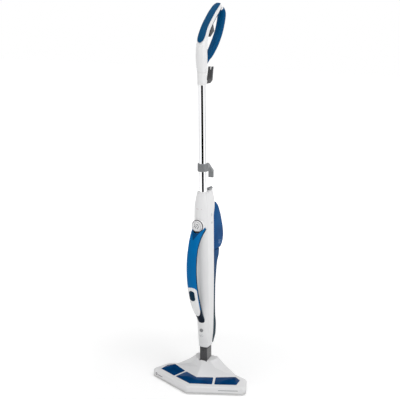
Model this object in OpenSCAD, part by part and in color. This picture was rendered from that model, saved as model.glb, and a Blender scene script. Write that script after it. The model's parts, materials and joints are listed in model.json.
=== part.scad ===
// Upright two-in-one steam mop: head, two-axis neck, lift-off steam unit
// with a carrying handle and a water tank, and a lift-out upper handle.
// Millimetres. +Z is up, the front is -Y, and the floor is z = 0.

/* [Overall] */
// Height of the top of the chrome tube above the floor
tube_top = 1030; // [940:1:1110]
// Extra length of the upper handle above the sleeve
handle_lift = 0; // [-20:1:40]

/* [Head] */
// Half width of the head across its two side corners
head_half_w = 172; // [145:1:200]
// Distance from the neck axis forward to the front corner
head_front = 132; // [115:1:160]
// Distance from the neck axis back to the rear edge
head_rear = 25; // [22:1:30]
// Wall of the head cover
head_wall = 2.6; // [2:0.1:3.4]
// Thickness of the cloth pad
cloth_t = 6; // [4:0.5:8]

/* [Neck] */
// Width of the neck across X
neck_w = 26; // [22:1:30]
// Depth of the neck along Y
neck_d = 35; // [31:1:38]
// Height of the pitch pin above the floor
pitch_z = 48; // [46:1:52]
// Distance from the pitch pin up to the roll pin
roll_rise = 60; // [54:1:66]
// Radius of the pitch pin and the roll pin
neck_pin_r = 3.95; // [3:0.05:4.5]

/* [Steam unit] */
// Half width of the casing at its widest
unit_half_w = 24; // [22:0.5:29]
// Wall of the casings
case_wall = 2.2; // [1.8:0.1:2.8]
// Height of the steam unit from its base ring to its top face
unit_len = 514; // [500:1:540]
// How far the water tank stands out behind the casing
tank_depth = 76; // [60:1:92]
// Wall of the water tank
tank_wall = 2; // [1.6:0.1:3]
// Radius of the steam regulation knob
knob_r = 17.5; // [14:0.5:20]
// Depth of the regulation knob
knob_h = 9; // [7:0.5:12]

/* [Carrying handle] */
// How far the middle of the carrying handle stands in front of the neck axis
grip_reach = 88; // [80:1:104]
// Half width of the carrying handle
grip_half_w = 17; // [14:0.5:20]
// Half thickness of the carrying handle
grip_half_t = 11; // [9:0.5:13]

/* [Upper handle] */
// Outer radius of the chrome tube
tube_r = 12.5; // [10.5:0.1:15]
// Wall of the chrome tube
tube_wall = 1.2; // [0.8:0.1:2]
// Half width of the handle loop's front limb
limb_half_w = 15; // [12.5:0.5:18]
// Half width of the handle loop's rear limb
arm_half_w = 13; // [11:0.5:15.5]
// Wall of the handle shells
shell_wall = 2.4; // [2:0.1:2.8]

/* [Fits] */
// Radial clearance of pins and shafts that turn
run_gap = 0.05; // [0.02:0.01:0.1]
// Gap between parts that slide past each other
slide_gap = 0.3; // [0.2:0.05:0.5]
// Gap between fixed parts that meet
seam = 0.15; // [0.1:0.05:0.3]

/* [Hidden] */
$fn = 64;

white = "whitesmoke";
blue = "#14599b";
navy = "#16324f";
dark = "#4c4f52";
grey = "#8e9192";
steel = "silver";

// ---------- shared geometry ----------

function unit(v) = v / norm(v);

// One rounded corner of an outline, at b between a and c
function corner_arc(a, b, c, r, k) =
    let (d1 = unit(b - a), d2 = unit(c - b),
        turn = atan2(d1.x * d2.y - d1.y * d2.x, d1 * d2),
        s = turn < 0 ? -1 : 1,
        centre = b + unit(d2 - d1) * r / cos(turn / 2),
        a0 = atan2(-d1.x * s, d1.y * s))
    [for (i = [0 : k]) centre + r * [cos(a0 + turn * i / k), sin(a0 + turn * i / k)]];

// A closed outline through pts, taken anticlockwise, with round corners
function rounded(pts, r, k = 4) =
    let (n = len(pts))
    [for (i = [0 : n - 1])
        each corner_arc(pts[(i + n - 1) % n], pts[i], pts[(i + 1) % n], r, k)];

// A right half outline, from front to rear, joined to its mirror image
function both_sides(half) = concat(half,
    [for (i = [len(half) - 1 : -1 : 0]) if (half[i].x > 0) [-half[i].x, half[i].y]]);

function at_height(outline, z) = [for (p = outline) [p.x, p.y, z]];

// A solid through rings with the same number of points
module skin(rings) {
    n = len(rings[0]);
    m = len(rings);
    points = [for (ring = rings) each ring];
    walls = [for (i = [0 : m - 2]) for (j = [0 : n - 1])
        let (a = i * n + j, b = i * n + (j + 1) % n)
        each [[a, b + n, b], [a, a + n, b + n]]];
    bottom = [for (j = [0 : n - 1]) j];
    top = [for (j = [n - 1 : -1 : 0]) (m - 1) * n + j];
    polyhedron(points, concat([bottom], walls, [top]), convexity = 8);
}

// A box with round vertical edges, centred on X and Y
module post(w, d, h, r) {
    linear_extrude(h) polygon(rounded([[-w / 2, -d / 2], [w / 2, -d / 2],
        [w / 2, d / 2], [-w / 2, d / 2]], r, 3));
}

module along_x(r, x0, x1) {
    translate([x0, 0, 0]) rotate([0, 90, 0]) cylinder(r = r, h = x1 - x0);
}

module along_y(r, y0, y1) {
    translate([0, y0, 0]) rotate([-90, 0, 0]) cylinder(r = r, h = y1 - y0);
}

module ring(r_out, r_in, h) {
    difference() {
        cylinder(r = r_out, h = h);
        translate([0, 0, -1]) cylinder(r = r_in, h = h + 2);
    }
}

// ---------- head ----------

base_z = cloth_t + 2;
rim_z = 20;
hub_z = 72;
slot_half = neck_w / 2 + 1.2;
head_mid = [0, -50];
hub_mid = [0, -8];

// Half outlines of the head from the front corner round to the rear edge
rim = [[0, -head_front], [head_half_w, -58], [head_half_w - 27, 8], [57, head_rear]];
band_out = [[0, -head_front + 21], [head_half_w - 34, -56], [head_half_w - 38, 2], [58, head_rear - 4]];
band_in = [[0, -head_front + 69], [head_half_w - 60, -6], [head_half_w - 66, 8], [56, head_rear - 4]];
ridge = [[0, -38], [44, -20], [62, 6], [58, head_rear - 6]];
hub_edge = [[0, -25], [28, -17], [42, 4], [40, head_rear - 7]];

// Each ring of the head: its outline, its height, how far the outline is drawn in, the
// radius of its corners, and its rise per millimetre towards the rear
head_levels = [[rim, base_z - 2, 2, 16, 0], [rim, base_z + 1, 0, 16, 0], [rim, rim_z, 0, 16, 0],
    [rim, 24, 2.5, 15, 0], [rim, 26.5, 7, 14, 0], [band_out, 29, 0, 8, 0], [band_in, 31.5, 0, 6, 0],
    [ridge, 56, 0, 6, 0.05], [hub_edge, hub_z - 4, 0, 5, 0.17], [hub_edge, hub_z, 3, 5, 0.17]];

function toward(p, c, d) = let (l = norm(p - c)) c + (p - c) * (l - d) / l;

function head_ring(level, grow) = [for (p = rounded(
        both_sides([for (q = level[0]) toward(q, level[1] > 40 ? hub_mid : head_mid, level[2] - grow)]), level[3], 4))
    [p.x, p.y, level[1] + grow + level[4] * (p.y + 25)]];

// The body of the head, larger or smaller by grow all over
module head_volume(grow = 0, drop = 0) {
    rings = [for (level = head_levels) head_ring(level, grow)];
    lowest = [for (p = rings[0]) [p.x, p.y, p.z - drop]];
    skin(concat([lowest], [for (i = [1 : len(rings) - 1]) rings[i]]));
}

// Plan outlines of the windows, anticlockwise
centre_window = [[0, 22 - head_front], [66, 48 - head_front], [49, 91 - head_front],
    [0, 68 - head_front], [-49, 91 - head_front], [-66, 48 - head_front]];
side_window = [[73, 50.5 - head_front], [head_half_w - 35, -54], [head_half_w - 39, -20],
    [head_half_w - 60, -6.5], [56, 94 - head_front]];

module window_prism(outline, gap) {
    centre = [for (k = [0 : 1]) (max([for (p = outline) p[k]]) + min([for (p = outline) p[k]])) / 2];
    grown = [for (p = outline) toward(p, centre, -gap)];
    translate([0, 0, 10]) linear_extrude(50) polygon(rounded(grown, 3, 3));
}

module window_lens(outline) {
    intersection() {
        window_prism(outline, 0);
        difference() {
            head_volume(0.5);
            head_volume(-head_wall);
        }
    }
}

module neck_slot() {
    front = -neck_d / 2 - 3;
    translate([-slot_half, front, pitch_z - 8]) cube([2 * slot_half, 100, 100]);
    translate([-slot_half, -4, 28.5]) cube([2 * slot_half, 100, 60]);
}

module head_cover() {
    color(white) difference() {
        head_volume();
        difference() {
            head_volume(-head_wall, 12);
            for (s = screw_spots) translate([s.x, s.y, base_z + 3 + seam]) cylinder(r = 4, h = 60);
        }
        for (s = screw_spots) translate([s.x, s.y, 0]) cylinder(r = 1.75, h = base_z + 12);
        window_prism(centre_window, slide_gap);
        window_prism(side_window, slide_gap);
        mirror([1, 0, 0]) window_prism(side_window, slide_gap);
        neck_slot();
    }
}

module head_base() {
    color(white) difference() {
        translate([0, 0, base_z]) linear_extrude(3) polygon(rounded(
            both_sides([for (p = rim) toward(p, head_mid, head_wall + 4)]), 14, 4));
        for (x = [-110 : 55 : 110])
            translate([x, -45, base_z - 1]) cylinder(r = 3, h = 5);
        for (s = screw_spots)
            translate([s.x, s.y, base_z - 1]) cylinder(r = 2.2, h = 5);
    }
}

module window_left() { color(navy) mirror([1, 0, 0]) window_lens(side_window); }
module window_centre() { color(navy) window_lens(centre_window); }
module window_right() { color(navy) window_lens(side_window); }

module cloth_pad() {
    color("gainsboro") linear_extrude(cloth_t) polygon(rounded(both_sides(rim), 16, 6));
}

// Hook-and-loop strips that hold the cloth under the base
module velcro_strips() {
    color(grey) for (x = [-82.5, -27.5, 27.5, 82.5])
        translate([x - 18, -80 + abs(x) / 4, cloth_t]) cube([36, 40, 2 - seam]);
}

module steam_distributor() {
    color(grey) difference() {
        union() {
            translate([-120, -52, base_z + 3]) cube([240, 14, 9]);
            translate([-10, -40, base_z + 3]) cube([20, 24, 9]);
        }
        translate([-116, -49, base_z + 2]) cube([232, 8, 8]);
        translate([-6, -44, base_z + 5]) cube([12, 22, 4]);
    }
}

// U-shaped bracket that carries the pitch pin and lines the slot
bracket_t = 4;
module hub_bracket() {
    x0 = slot_half + seam;
    color(dark) difference() {
        union() {
            for (s = [-1, 1])
                translate([s > 0 ? x0 : -x0 - bracket_t, -14, base_z + 3]) cube([bracket_t, 30, 38]);
            for (s = [-1, 1]) translate([s > 0 ? x0 : -x0 - bracket_t, 0, pitch_z])
                rotate([0, 90, 0]) cylinder(r = 9, h = bracket_t);
            translate([-x0 - 1, -12, base_z + 3]) cube([2 * x0 + 2, 28, 6]);
        }
        translate([0, 0, pitch_z]) along_x(neck_pin_r + run_gap, -40, 40);
    }
}

module pitch_pin() {
    reach = slot_half + bracket_t + 1;
    color(steel) translate([0, 0, pitch_z]) along_x(neck_pin_r, -reach, reach);
}

screw_spots = [[26 - head_half_w, -34], [head_half_w - 26, -34], [-34, -26], [34, -26]];
module head_screws() {
    color(steel) for (s = screw_spots) translate([s.x, s.y, base_z - 1.9]) {
        cylinder(r = 3.4, h = 1.8);
        cylinder(r = 1.7, h = 12);
    }
}

// ---------- neck ----------

roll_z = pitch_z + roll_rise;
eye_r = neck_w / 2;
eye_half = 8.7;
cheek_rise = 9.5;
flange_z = roll_z + norm([eye_r, cheek_rise]) + 1;
flange_t = 3;
seat_z = flange_z + flange_t;
unit_z = roll_z + 11;
plug_h = 34;
plug_w = 17;
plug_d = 23;

module neck_fork() {
    inner = eye_half + slide_gap;
    color(dark) difference() {
        union() {
            translate([0, 0, pitch_z]) along_x(13, -neck_w / 2, neck_w / 2);
            translate([0, 0, pitch_z + 2]) post(neck_w, neck_d, roll_z + cheek_rise - pitch_z - 2, 3);
        }
        translate([-40, -inner, roll_z - eye_r - 1]) cube([80, 2 * inner, 60]);
        translate([0, 0, pitch_z]) along_x(neck_pin_r + run_gap, -40, 40);
        translate([0, 0, roll_z]) along_y(neck_pin_r + run_gap, -40, 40);
        translate([0, 0, pitch_z + neck_pin_r + 3]) cylinder(r = 3.5, h = 60);
    }
}

module roll_pin() {
    color(steel) translate([0, 0, roll_z]) along_y(neck_pin_r, -neck_d / 2 - 0.4, neck_d / 2 + 0.4);
}

module neck_connector() {
    color(dark) difference() {
        union() {
            translate([0, 0, roll_z]) along_y(eye_r, -eye_half, eye_half);
            translate([-eye_r, -eye_half, roll_z]) cube([2 * eye_r, 2 * eye_half, flange_z - roll_z + 1]);
            translate([0, 0, flange_z]) post(neck_w, neck_d, flange_t, 3);
            translate([0, 0, seat_z - 1]) post(plug_w, plug_d, plug_h + 1, 3);
        }
        translate([0, 0, roll_z]) along_y(neck_pin_r + run_gap, -40, 40);
        translate([0, 0, roll_z + neck_pin_r + 4]) cylinder(r = 3, h = 90);
        translate([0, 0, seat_z + plug_h - 8]) cylinder(r = 5, h = 10);
    }
}

module plug_seal() {
    color("black") translate([0, 0, seat_z + plug_h - 8]) ring(4.95, 3, 6);
}

// ---------- steam unit ----------

unit_top = unit_z + unit_len;
split_z = unit_z + 14;

// Station heights run from the base of the casings to their top edge
function case_z(t) = split_z + t * (unit_top - 4 - split_z);
case_steps = [0, 0.02, 0.06, 0.12, 0.18, 0.26, 0.34, 0.44, 0.53, 0.62, 0.69, 0.75, 0.8, 0.84, 0.875, 0.91, 0.95, 0.98, 1];

// Shape along the casing: share of the height, then the value in millimetres
half_w_shape = [[0, neck_w / 2 + 3], [0.06, 18.5], [0.18, 21.5], [0.34, 23], [0.53, 24], [0.8, 24], [0.91, 22.5],
    [0.97, tube_r + 6.5], [1, tube_r + 4]];
front_shape = [[0, -neck_d / 2 - 3.5], [0.06, -26], [0.18, -32], [0.34, -36], [0.53, -38], [0.8, -43], [0.91, -38], [0.97, -32], [1, -26]];
crease_shape = [[0, -neck_d / 2 + 0.5], [0.06, -16], [0.18, -18], [0.34, -22], [0.53, -24], [0.91, -24], [0.97, -21], [1, -18]];
back_shape = [[0, neck_d / 2 + 3.5], [0.06, 23], [0.18, 21], [0.84, 21], [0.9, 30], [0.95, 33], [1, 31]];

function half_w(t) = lookup(t, half_w_shape) + unit_half_w - 24;
function front_y(t) = lookup(t, front_shape);
function crease_y(t) = lookup(t, crease_shape);
function back_y(t) = lookup(t, back_shape);

// The bowed front panel at one height, from the right crease to the left one
function bow(t, inset, k = 8) = [for (i = [-k : k]) let (s = -i / k)
    [s * (half_w(t) - inset), front_y(t) + inset + (crease_y(t) - front_y(t) - inset) * s * s]];

// The sides and back at one height, from the left crease round to the right one
function wrap(t, inset, gap) = let (w = half_w(t) - inset, b = back_y(t) - inset, r = 6 - inset,
        y0 = crease_y(t) + gap)
    concat([[w, y0]], [for (i = [0 : 4]) [w - r + r * cos(i * 22.5), b - r + r * sin(i * 22.5)]],
        [for (i = [4 : -1 : 0]) [-w + r - r * cos(i * 22.5), b - r + r * sin(i * 22.5)]], [[-w, y0]]);

function reverse(list) = [for (i = [len(list) - 1 : -1 : 0]) list[i]];

// Outer surface of the front panel at a height z and a distance x from the middle
function share(z) = (z - split_z) / (unit_top - 4 - split_z);
function panel_y(z, x = 0) = let (t = share(z))
    front_y(t) + (crease_y(t) - front_y(t)) * pow(x / half_w(t), 2);

knob_z = unit_z + 412;
catch_z = unit_z + 60;
case_screw_z = [unit_z + 81, unit_z + 216, unit_z + 359];
case_screw_x = 14;

function straight_back(line, y) = concat(line, [[line[len(line) - 1].x, y], [line[0].x, y]]);

module front_casing() {
    color(white) difference() {
        union() {
            difference() {
                skin([for (t = case_steps) at_height(reverse(bow(t, 0)), case_z(t))]);
                skin([for (t = case_steps) at_height(reverse(straight_back(bow(t, case_wall), crease_y(t) + 1)),
                    case_z(t) + past_end(t))]);
            }
            for (z = case_screw_z) for (x = [-case_screw_x, case_screw_x])
                translate([x, 0, z]) along_y(3.4, panel_y(z, x) + 0.9, 2);
        }
        for (z = case_screw_z) for (x = [-case_screw_x, case_screw_x])
            translate([x, 0, z]) along_y(1.5, -12, 4);
        translate([0, 0, knob_z]) along_y(6, -80, -20);
        translate([0, 0, catch_z]) along_y(catch_r + slide_gap, -60, -8);
    }
}

function past_end(t) = t == 0 ? -1 : t == 1 ? 1 : 0;

module rear_casing() {
    color(white) difference() {
        skin([for (t = case_steps) at_height(wrap(t, 0, seam), case_z(t))]);
        difference() {
            skin([for (t = case_steps) at_height(wrap(t, case_wall, -1), case_z(t) + past_end(t))]);
            for (z = case_screw_z) for (x = [-case_screw_x, case_screw_x])
                translate([x, 0, z]) along_y(5, 2 + seam, 60);
        }
        for (z = case_screw_z) for (x = [-case_screw_x, case_screw_x]) translate([x, 0, z]) {
            along_y(1.7, -10, 40);
            along_y(3.2, 14.5, 40);
        }
        translate([0, 0, outlet_z]) along_y(6.5, 10, 40);
    }
}

function case_outline(t, inset) = concat(reverse(bow(t, inset)), wrap(t, inset, 2));

// The outside of the casings between some of their stations, with the fixed seam added
module case_body(steps) {
    skin([for (t = steps) at_height(case_outline(t, -seam), case_z(t))]);
}

module base_ring() {
    color(white) difference() {
        union() {
            translate([0, 0, unit_z]) linear_extrude(split_z - seam - unit_z) polygon(case_outline(0, 0));
            translate([0, 0.5, split_z - 1]) post(21, 29, 6, 3);
        }
        translate([0, 0, unit_z - 1]) post(neck_w + 2 * slide_gap, neck_d + 2 * slide_gap, seat_z - unit_z + 1 + seam, 3);
        translate([0, 0, unit_z - 1])
            post(plug_w + 2 * slide_gap, plug_d + 2 * slide_gap, 30, 3);
    }
}

module top_cap() {
    color(white) difference() {
        for (layer = [[-4 + seam, 0], [-2.6, 0.5], [-1.6, 1.3], [-0.8, 2.4]])
            translate([0, 0, unit_top + layer[0]]) linear_extrude(-layer[0]) polygon(case_outline(1, layer[1]));
        translate([0, tube_y, unit_top - 10]) cylinder(r = tube_r + run_gap, h = 20);
        translate([-6.7, gland_y - 5.7, unit_top - 2.4]) cube([13.4, 11.4, 10]);
        translate([-5.1, gland_y, unit_top - 8]) cube([10.2, 30, 20]);
    }
}

tube_y = -8;
socket_depth = 58;
socket_z = unit_top - 4 - socket_depth;

module tube_socket() {
    color(grey) translate([0, tube_y, socket_z]) difference() {
        cylinder(r = tube_r + 1.6, h = socket_depth);
        translate([0, 0, 3]) cylinder(r = tube_r + run_gap, h = 80);
        translate([0, 0, -1]) cylinder(r = 5, h = 10);
    }
}

// Power cord outlet on the rear shoulder, with the hole for the cord
gland_y = 22;
cord_r = 3.6;
gland_z = unit_top + 0.9;
module cord_gland() {
    color(grey) difference() {
        union() {
            translate([0, gland_y, unit_top - 2.2]) post(13, 11, 7.5, 1);
            translate([0, gland_y, gland_z]) along_y(4.9, 9.6, 26);
            translate([-4.9, gland_y, gland_z - 2]) cube([9.8, 11, 4]);
        }
        translate([0, gland_y, gland_z]) along_y(cord_r, 6, 28);
    }
}

// Blue cover down the back, from under the tank to the base
cover_shape = [[-0.02, 30], [0, 36], [0.03, 43], [0.1, 42], [0.18, 34], [0.27, 32], [0.36, 33], [0.44, 37],
    [0.53, 46], [0.57, 57], [0.61, 60]];
cover_steps = [-0.02, 0, 0.03, 0.06, 0.1, 0.18, 0.27, 0.36, 0.44, 0.5, 0.53, 0.555, 0.58, 0.61];

function cover_out(t, inset) = let (w = half_w(max(t, 0)) - 1 - inset, b = lookup(t, cover_shape) - inset,
        r = max(5 - inset, 1))
    concat([[w, back_y(max(t, 0)) + seam - inset]],
        [for (i = [0 : 4]) [w - r + r * cos(i * 22.5), b - r + r * sin(i * 22.5)]],
        [for (i = [4 : -1 : 0]) [-w + r - r * cos(i * 22.5), b - r + r * sin(i * 22.5)]],
        [[-w, back_y(max(t, 0)) + seam - inset]]);

module rear_cover() {
    last = cover_steps[len(cover_steps) - 1];
    color(blue) difference() {
        skin([for (t = cover_steps) at_height(cover_out(t, 0), case_z(t))]);
        skin([for (t = cover_steps) at_height(cover_out(t, 2),
            case_z(t) + (t == cover_steps[0] ? 2 : t == last ? -2 : 0))]);
    }
}

knob_back = panel_y(knob_z) - 1.4;
module knob_bezel() {
    color(white) difference() {
        translate([0, 0, knob_z]) along_y(knob_r + 2.5, knob_back - 3, knob_back + 15);
        skin([for (t = case_steps) if (abs(case_z(t) - knob_z) < 80)
            at_height(reverse(straight_back(bow(t, -seam), 0)), case_z(t))]);
        translate([0, 0, knob_z]) along_y(6, knob_back - 20, 0);
        translate([0, 0, knob_z]) along_y(knob_r + slide_gap, knob_back - 20, knob_back - 1);
    }
}

knob_shaft_r = 3.95;
module regulation_knob() {
    color(white) translate([0, 0, knob_z]) {
        along_y(knob_r, knob_back - 1.3 - knob_h, knob_back - 1.3);
        along_y(knob_shaft_r, knob_back - 2, -24);
    }
}

module regulation_valve() {
    color(grey) difference() {
        translate([-10, -36, knob_z - 11]) cube([20, 28, 22]);
        translate([0, 0, knob_z]) along_y(knob_shaft_r + run_gap, -60, -22);
        translate([0, -14, knob_z - 20]) cylinder(r = 2.2, h = 14);
    }
}

catch_r = 6;
module release_button() {
    face = panel_y(catch_z);
    color(grey) translate([0, 0, catch_z]) {
        along_y(catch_r, face - 1.2, face + 5);
        along_y(catch_r + 2, face + 5, face + 7);
    }
}

// ---------- carrying handle ----------

// The middle line runs from the lower root to the upper root
grip_low = [-36, unit_z + 110];
grip_high = [-40, unit_z + 396];
grip_pull = grip_reach * 4 / 3 - 12.5;

function bezier(a, b, c, d, t) = a * pow(1 - t, 3) + 3 * b * t * pow(1 - t, 2) + 3 * c * t * t * (1 - t) + d * t * t * t;
function grip_point(t) = bezier(grip_low, [-grip_pull - 2, unit_z + 220], [-grip_pull + 2, unit_z + 354], grip_high, t);

grip_width = [[0, -5], [0.1, -2], [0.2, 0], [0.7, 0], [0.85, 2], [1, 5.5]];
grip_thick = [[0, -3], [0.12, 0], [0.7, 0], [1, 1]];

function grip_station(t) = let (p = grip_point(t), v = unit(grip_point(t + 0.01) - grip_point(t - 0.01)))
    [p.x, p.y, grip_half_w + lookup(t, grip_width), grip_half_t + lookup(t, grip_thick), v.x, v.y, 1];

// A station along a limb is [y, z, half width, half thickness, tangent y, tangent z, power].
// The section is an ellipse where the power is 1 and a blunter oval below that, and its
// first half faces to the left of the tangent.
function limb_point(s, angle, inset) =
    let (u = (s[2] - inset) * blunt(cos(angle), s[6]), w = (s[3] - inset) * blunt(sin(angle), s[6]))
    [u, s[0] - s[5] * w, s[1] + s[4] * w];

function blunt(v, power) = sign(v) * pow(abs(v), power);

// A curved shell along a limb, from one angle of its section to another
module limb_shell(stations, from, to, outset, wall, k = 10) {
    skin([for (s = stations) concat(
        [for (i = [k : -1 : 0]) limb_point(s, from + (to - from) * i / k, -outset)],
        [for (i = [0 : k]) limb_point(s, from + (to - from) * i / k, wall - outset)])]);
}

// A station carried on along its own tangent by d
function carried(s, d) = [s[0] + s[4] * d, s[1] + s[5] * d, s[2], s[3], s[4], s[5], s[6]];
grip_start = carried(grip_station(0), -24);
grip_finish = carried(grip_station(1), 12);

cap_end = 0.36;
module carry_grip_front() {
    color(blue) difference() {
        limb_shell(concat([for (i = [0 : 12]) grip_station(cap_end + 0.004 + (0.996 - cap_end) * i / 12)],
            [grip_finish]), 1, 179, 0, 2.4);
        case_body([0.62, 0.8, 0.91]);
        translate([0, 0, knob_z]) along_y(knob_r + 2.5 + slide_gap, -90, -20);
    }
}

module carry_grip_rear() {
    color(navy) difference() {
        limb_shell(concat([grip_start], [for (i = [0 : 18]) grip_station(i / 18)], [grip_finish]),
            181, 359, 0, 2.4);
        case_body([0.06, 0.18, 0.34, 0.4]);
        case_body([0.62, 0.8, 0.91]);
    }
}

// The thumb button lies across the front of the cap, square to its surface
button_t = 0.26;
button_spot = grip_station(button_t);
button_tilt = atan2(button_spot[4], button_spot[5]);
button_w = 18;
button_len = 38;

module button_oval(grow, h) {
    r = button_w / 2 + grow;
    half = (button_len - button_w) / 2;
    linear_extrude(h) union() {
        translate([0, half]) circle(r = r);
        translate([0, -half]) circle(r = r);
        square([2 * r, 2 * half], center = true);
    }
}

// Places a child on the handle with +Z out of its front face
module on_button() {
    translate([0, button_spot[0], button_spot[1]]) rotate([90 - button_tilt, 0, 0]) children();
}

module handle_cap() {
    color(white) difference() {
        limb_shell(concat([grip_start], [for (i = [0 : 10]) grip_station(cap_end * i / 10)]), 1, 179, 0, 2.4);
        on_button() button_oval(slide_gap, 40);
        case_body([0.06, 0.18, 0.34, 0.4]);
    }
}

button_travel = 2.5;
module steam_button() {
    color(navy) on_button() {
        translate([0, 0, 3.6]) button_oval(0, grip_half_t - 2.4);
        translate([0, 0, 3.6]) button_oval(1, 1.2);
    }
}

module steam_microswitch() {
    color(dark) on_button() translate([-3, -10, -6.5]) cube([6, 20, 6.5]);
}

// ---------- inside the steam unit ----------

boiler_z = unit_z + 96;
boiler_h = 110;
module boiler() {
    color("darkgray") difference() {
        translate([-14, -22, boiler_z]) cube([28, 32, boiler_h]);
        for (x = [-7, 7]) translate([x, -2, boiler_z - 1]) cylinder(r = element_r + run_gap, h = boiler_h + 2);
        translate([0, pipe_y, boiler_z - 1]) cylinder(r = pipe_r, h = 12);
    }
}

element_r = 3.5;
pipe_r = 3;
pipe_y = -13;
module heating_element() {
    color(steel) {
        for (x = [-7, 7]) translate([x, -2, boiler_z - 6]) cylinder(r = element_r, h = boiler_h + 8);
        translate([0, -2, boiler_z + boiler_h + 2]) rotate([90, 0, 0])
            rotate_extrude(angle = 180) translate([7, 0]) circle(r = element_r);
    }
}

module thermostats() {
    color(dark) for (z = [boiler_z + 30, boiler_z + 74]) translate([0, 0, z]) {
        along_y(7, 10 + seam, 16);
        translate([-8, 10 + seam, -1.5]) cube([16, 1.2, 3]);
    }
}

pump_z = unit_z + 228;
module pump() {
    color(dark) {
        translate([0, -8, pump_z]) cylinder(r = 12, h = 58);
        translate([-12, -20, pump_z + 10]) cube([24, 24, 34]);
        translate([0, -8, pump_z + 58]) cylinder(r = 5, h = 8);
    }
}

filter_z = unit_z + 306;
module filter_cartridge() {
    color("palegreen") translate([0, -8, filter_z]) {
        cylinder(r = 10, h = 44);
        translate([0, -6, 44]) cylinder(r = 3.5, h = 6);
    }
}

// Inlet spigot of the tank valve
outlet_z = unit_z + 340;

module water_hoses() {
    color("lightgray") {
        translate([0, -8, pump_z + 66 + seam]) cylinder(r = 3, h = filter_z - pump_z - 66 - 2 * seam);
        translate([0, -16, boiler_z + boiler_h + seam]) cylinder(r = 2.5, h = pump_z - boiler_z - boiler_h - 2 * seam);
        translate([0, -14, filter_z + 50 + seam]) cylinder(r = 2, h = knob_z - 11 - filter_z - 50 - 2 * seam);
    }
}

module steam_pipe() {
    color(steel) difference() {
        union() {
            translate([0, pipe_y, seat_z + plug_h + 10]) cylinder(r = pipe_r - run_gap, h = boiler_z - seat_z - plug_h);
            translate([-8, pipe_y - 4, seat_z + plug_h + 5]) cube([16, 21, 6]);
            translate([0, 0, seat_z + plug_h + 1]) cylinder(r = 2.9, h = 6);
        }
        translate([0, 0, seat_z + plug_h]) cylinder(r = 1.8, h = 8);
    }
}

module circuit_board() {
    color("seagreen") {
        translate([-15, 8, knob_z - 40]) cube([30, 1.6, 76]);
        translate([-10, 1, knob_z - 30]) cube([9, 7, 12]);
        translate([3, -2, knob_z - 6]) cube([9, 10, 18]);
    }
}

module casing_screws() {
    color(steel) for (z = case_screw_z) for (x = [-case_screw_x, case_screw_x]) translate([x, 0, z]) {
        along_y(1.45, -8, 16);
        along_y(3, 14.5 + run_gap, 17);
    }
}

// ---------- water tank ----------

tank_low = 0.613;
tank_steps = [tank_low, 0.625, 0.65, 0.69, 0.74, 0.79, 0.84, 0.88, 0.905, 0.92];
tank_bulge = [[tank_low, 0.72], [0.625, 0.8], [0.65, 0.91], [0.69, 0.97], [0.74, 0.92], [0.79, 0.82], [0.84, 0.7],
    [0.88, 0.52], [0.905, 0.36], [0.92, 0.22]];
tank_half = 21.5;

function tank_ring(t, inset) =
    let (w = (tank_half + unit_half_w - 24) * lookup(t, [[0.84, 1], [0.92, 0.86]]) - inset,
        a = back_y(t) + slide_gap + inset,
        b = back_y(t) + tank_depth * lookup(t, tank_bulge) - inset,
        r = min(9, (b - a) / 2.2), q = 2)
    concat([for (i = [0 : 2]) [-w + q - q * cos(i * 45), a + q - q * sin(i * 45)]],
        [for (i = [2 : -1 : 0]) [w - q + q * cos(i * 45), a + q - q * sin(i * 45)]],
        [for (i = [0 : 5]) [w - r + r * cos(i * 18), b - r + r * sin(i * 18)]],
        [for (i = [5 : -1 : 0]) [-w + r - r * cos(i * 18), b - r + r * sin(i * 18)]]);

function tank_z(t, inset) = case_z(t) + (t == tank_low ? inset : t == 0.92 ? -inset : 0);

valve_y = 60;
fill_y = 44;
module water_tank() {
    color(blue) difference() {
        skin([for (t = tank_steps) at_height(tank_ring(t, 0), case_z(t))]);
        skin([for (t = [for (s = tank_steps) if (s < 0.91) s])
            at_height(tank_ring(t, tank_wall), tank_z(t, tank_wall))]);
        translate([0, 0, outlet_z]) along_y(4.5, 10, 40);
        translate([0, valve_y, case_z(tank_low) - 5]) cylinder(r = 9, h = 20);
    }
}

// Collar in the tank's floor that the filler cap screws into
module tank_lid() {
    color(grey) translate([0, valve_y, case_z(tank_low)]) difference() {
        union() {
            translate([0, 0, 0.5]) cylinder(r = 9 - seam, h = 6);
            translate([0, 0, tank_wall + seam]) cylinder(r = 11, h = 2);
        }
        translate([0, 0, -1]) cylinder(r = 7 + run_gap, h = 12);
    }
}

module filler_cap() {
    color("lightgray") translate([0, valve_y, case_z(tank_low)]) {
        translate([0, 0, 2.4]) cylinder(r = 7, h = 7);
        translate([-5, -1.5, 0.2]) cube([10, 3, 3]);
    }
}

module tank_valve() {
    color(dark) translate([0, 0, outlet_z]) difference() {
        union() {
            along_y(4.5 - seam, back_y(0.65) - 8, back_y(0.65) + 6);
            along_y(7, back_y(0.65) + tank_wall + slide_gap + seam, back_y(0.65) + tank_wall + 4);
        }
        along_y(2, back_y(0.65) - 9, back_y(0.65) + 5);
    }
}

// ---------- upper handle ----------

stretch = tube_top - 1030;
sleeve_z = 964 + stretch;
sleeve_h = 39;
shell_z = sleeve_z + sleeve_h;
lift = stretch + handle_lift;

module chrome_tube() {
    color(steel) translate([0, tube_y, socket_z + 3 + seam])
        ring(tube_r, tube_r - tube_wall, tube_top - socket_z - 3);
}

module handle_sleeve() {
    color(white) difference() {
        union() {
            translate([0, tube_y, sleeve_z]) cylinder(r = tube_r + 2.2, h = sleeve_h - seam);
            translate([0, 0, hook_z]) along_y(7, tube_y + tube_r, tube_y + tube_r + 9);
        }
        translate([0, tube_y, sleeve_z - 1]) cylinder(r = tube_r + run_gap, h = 80);
        translate([0, 0, hook_z]) along_y(hook_pin_r + run_gap, tube_y + tube_r, 60);
    }
}

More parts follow.
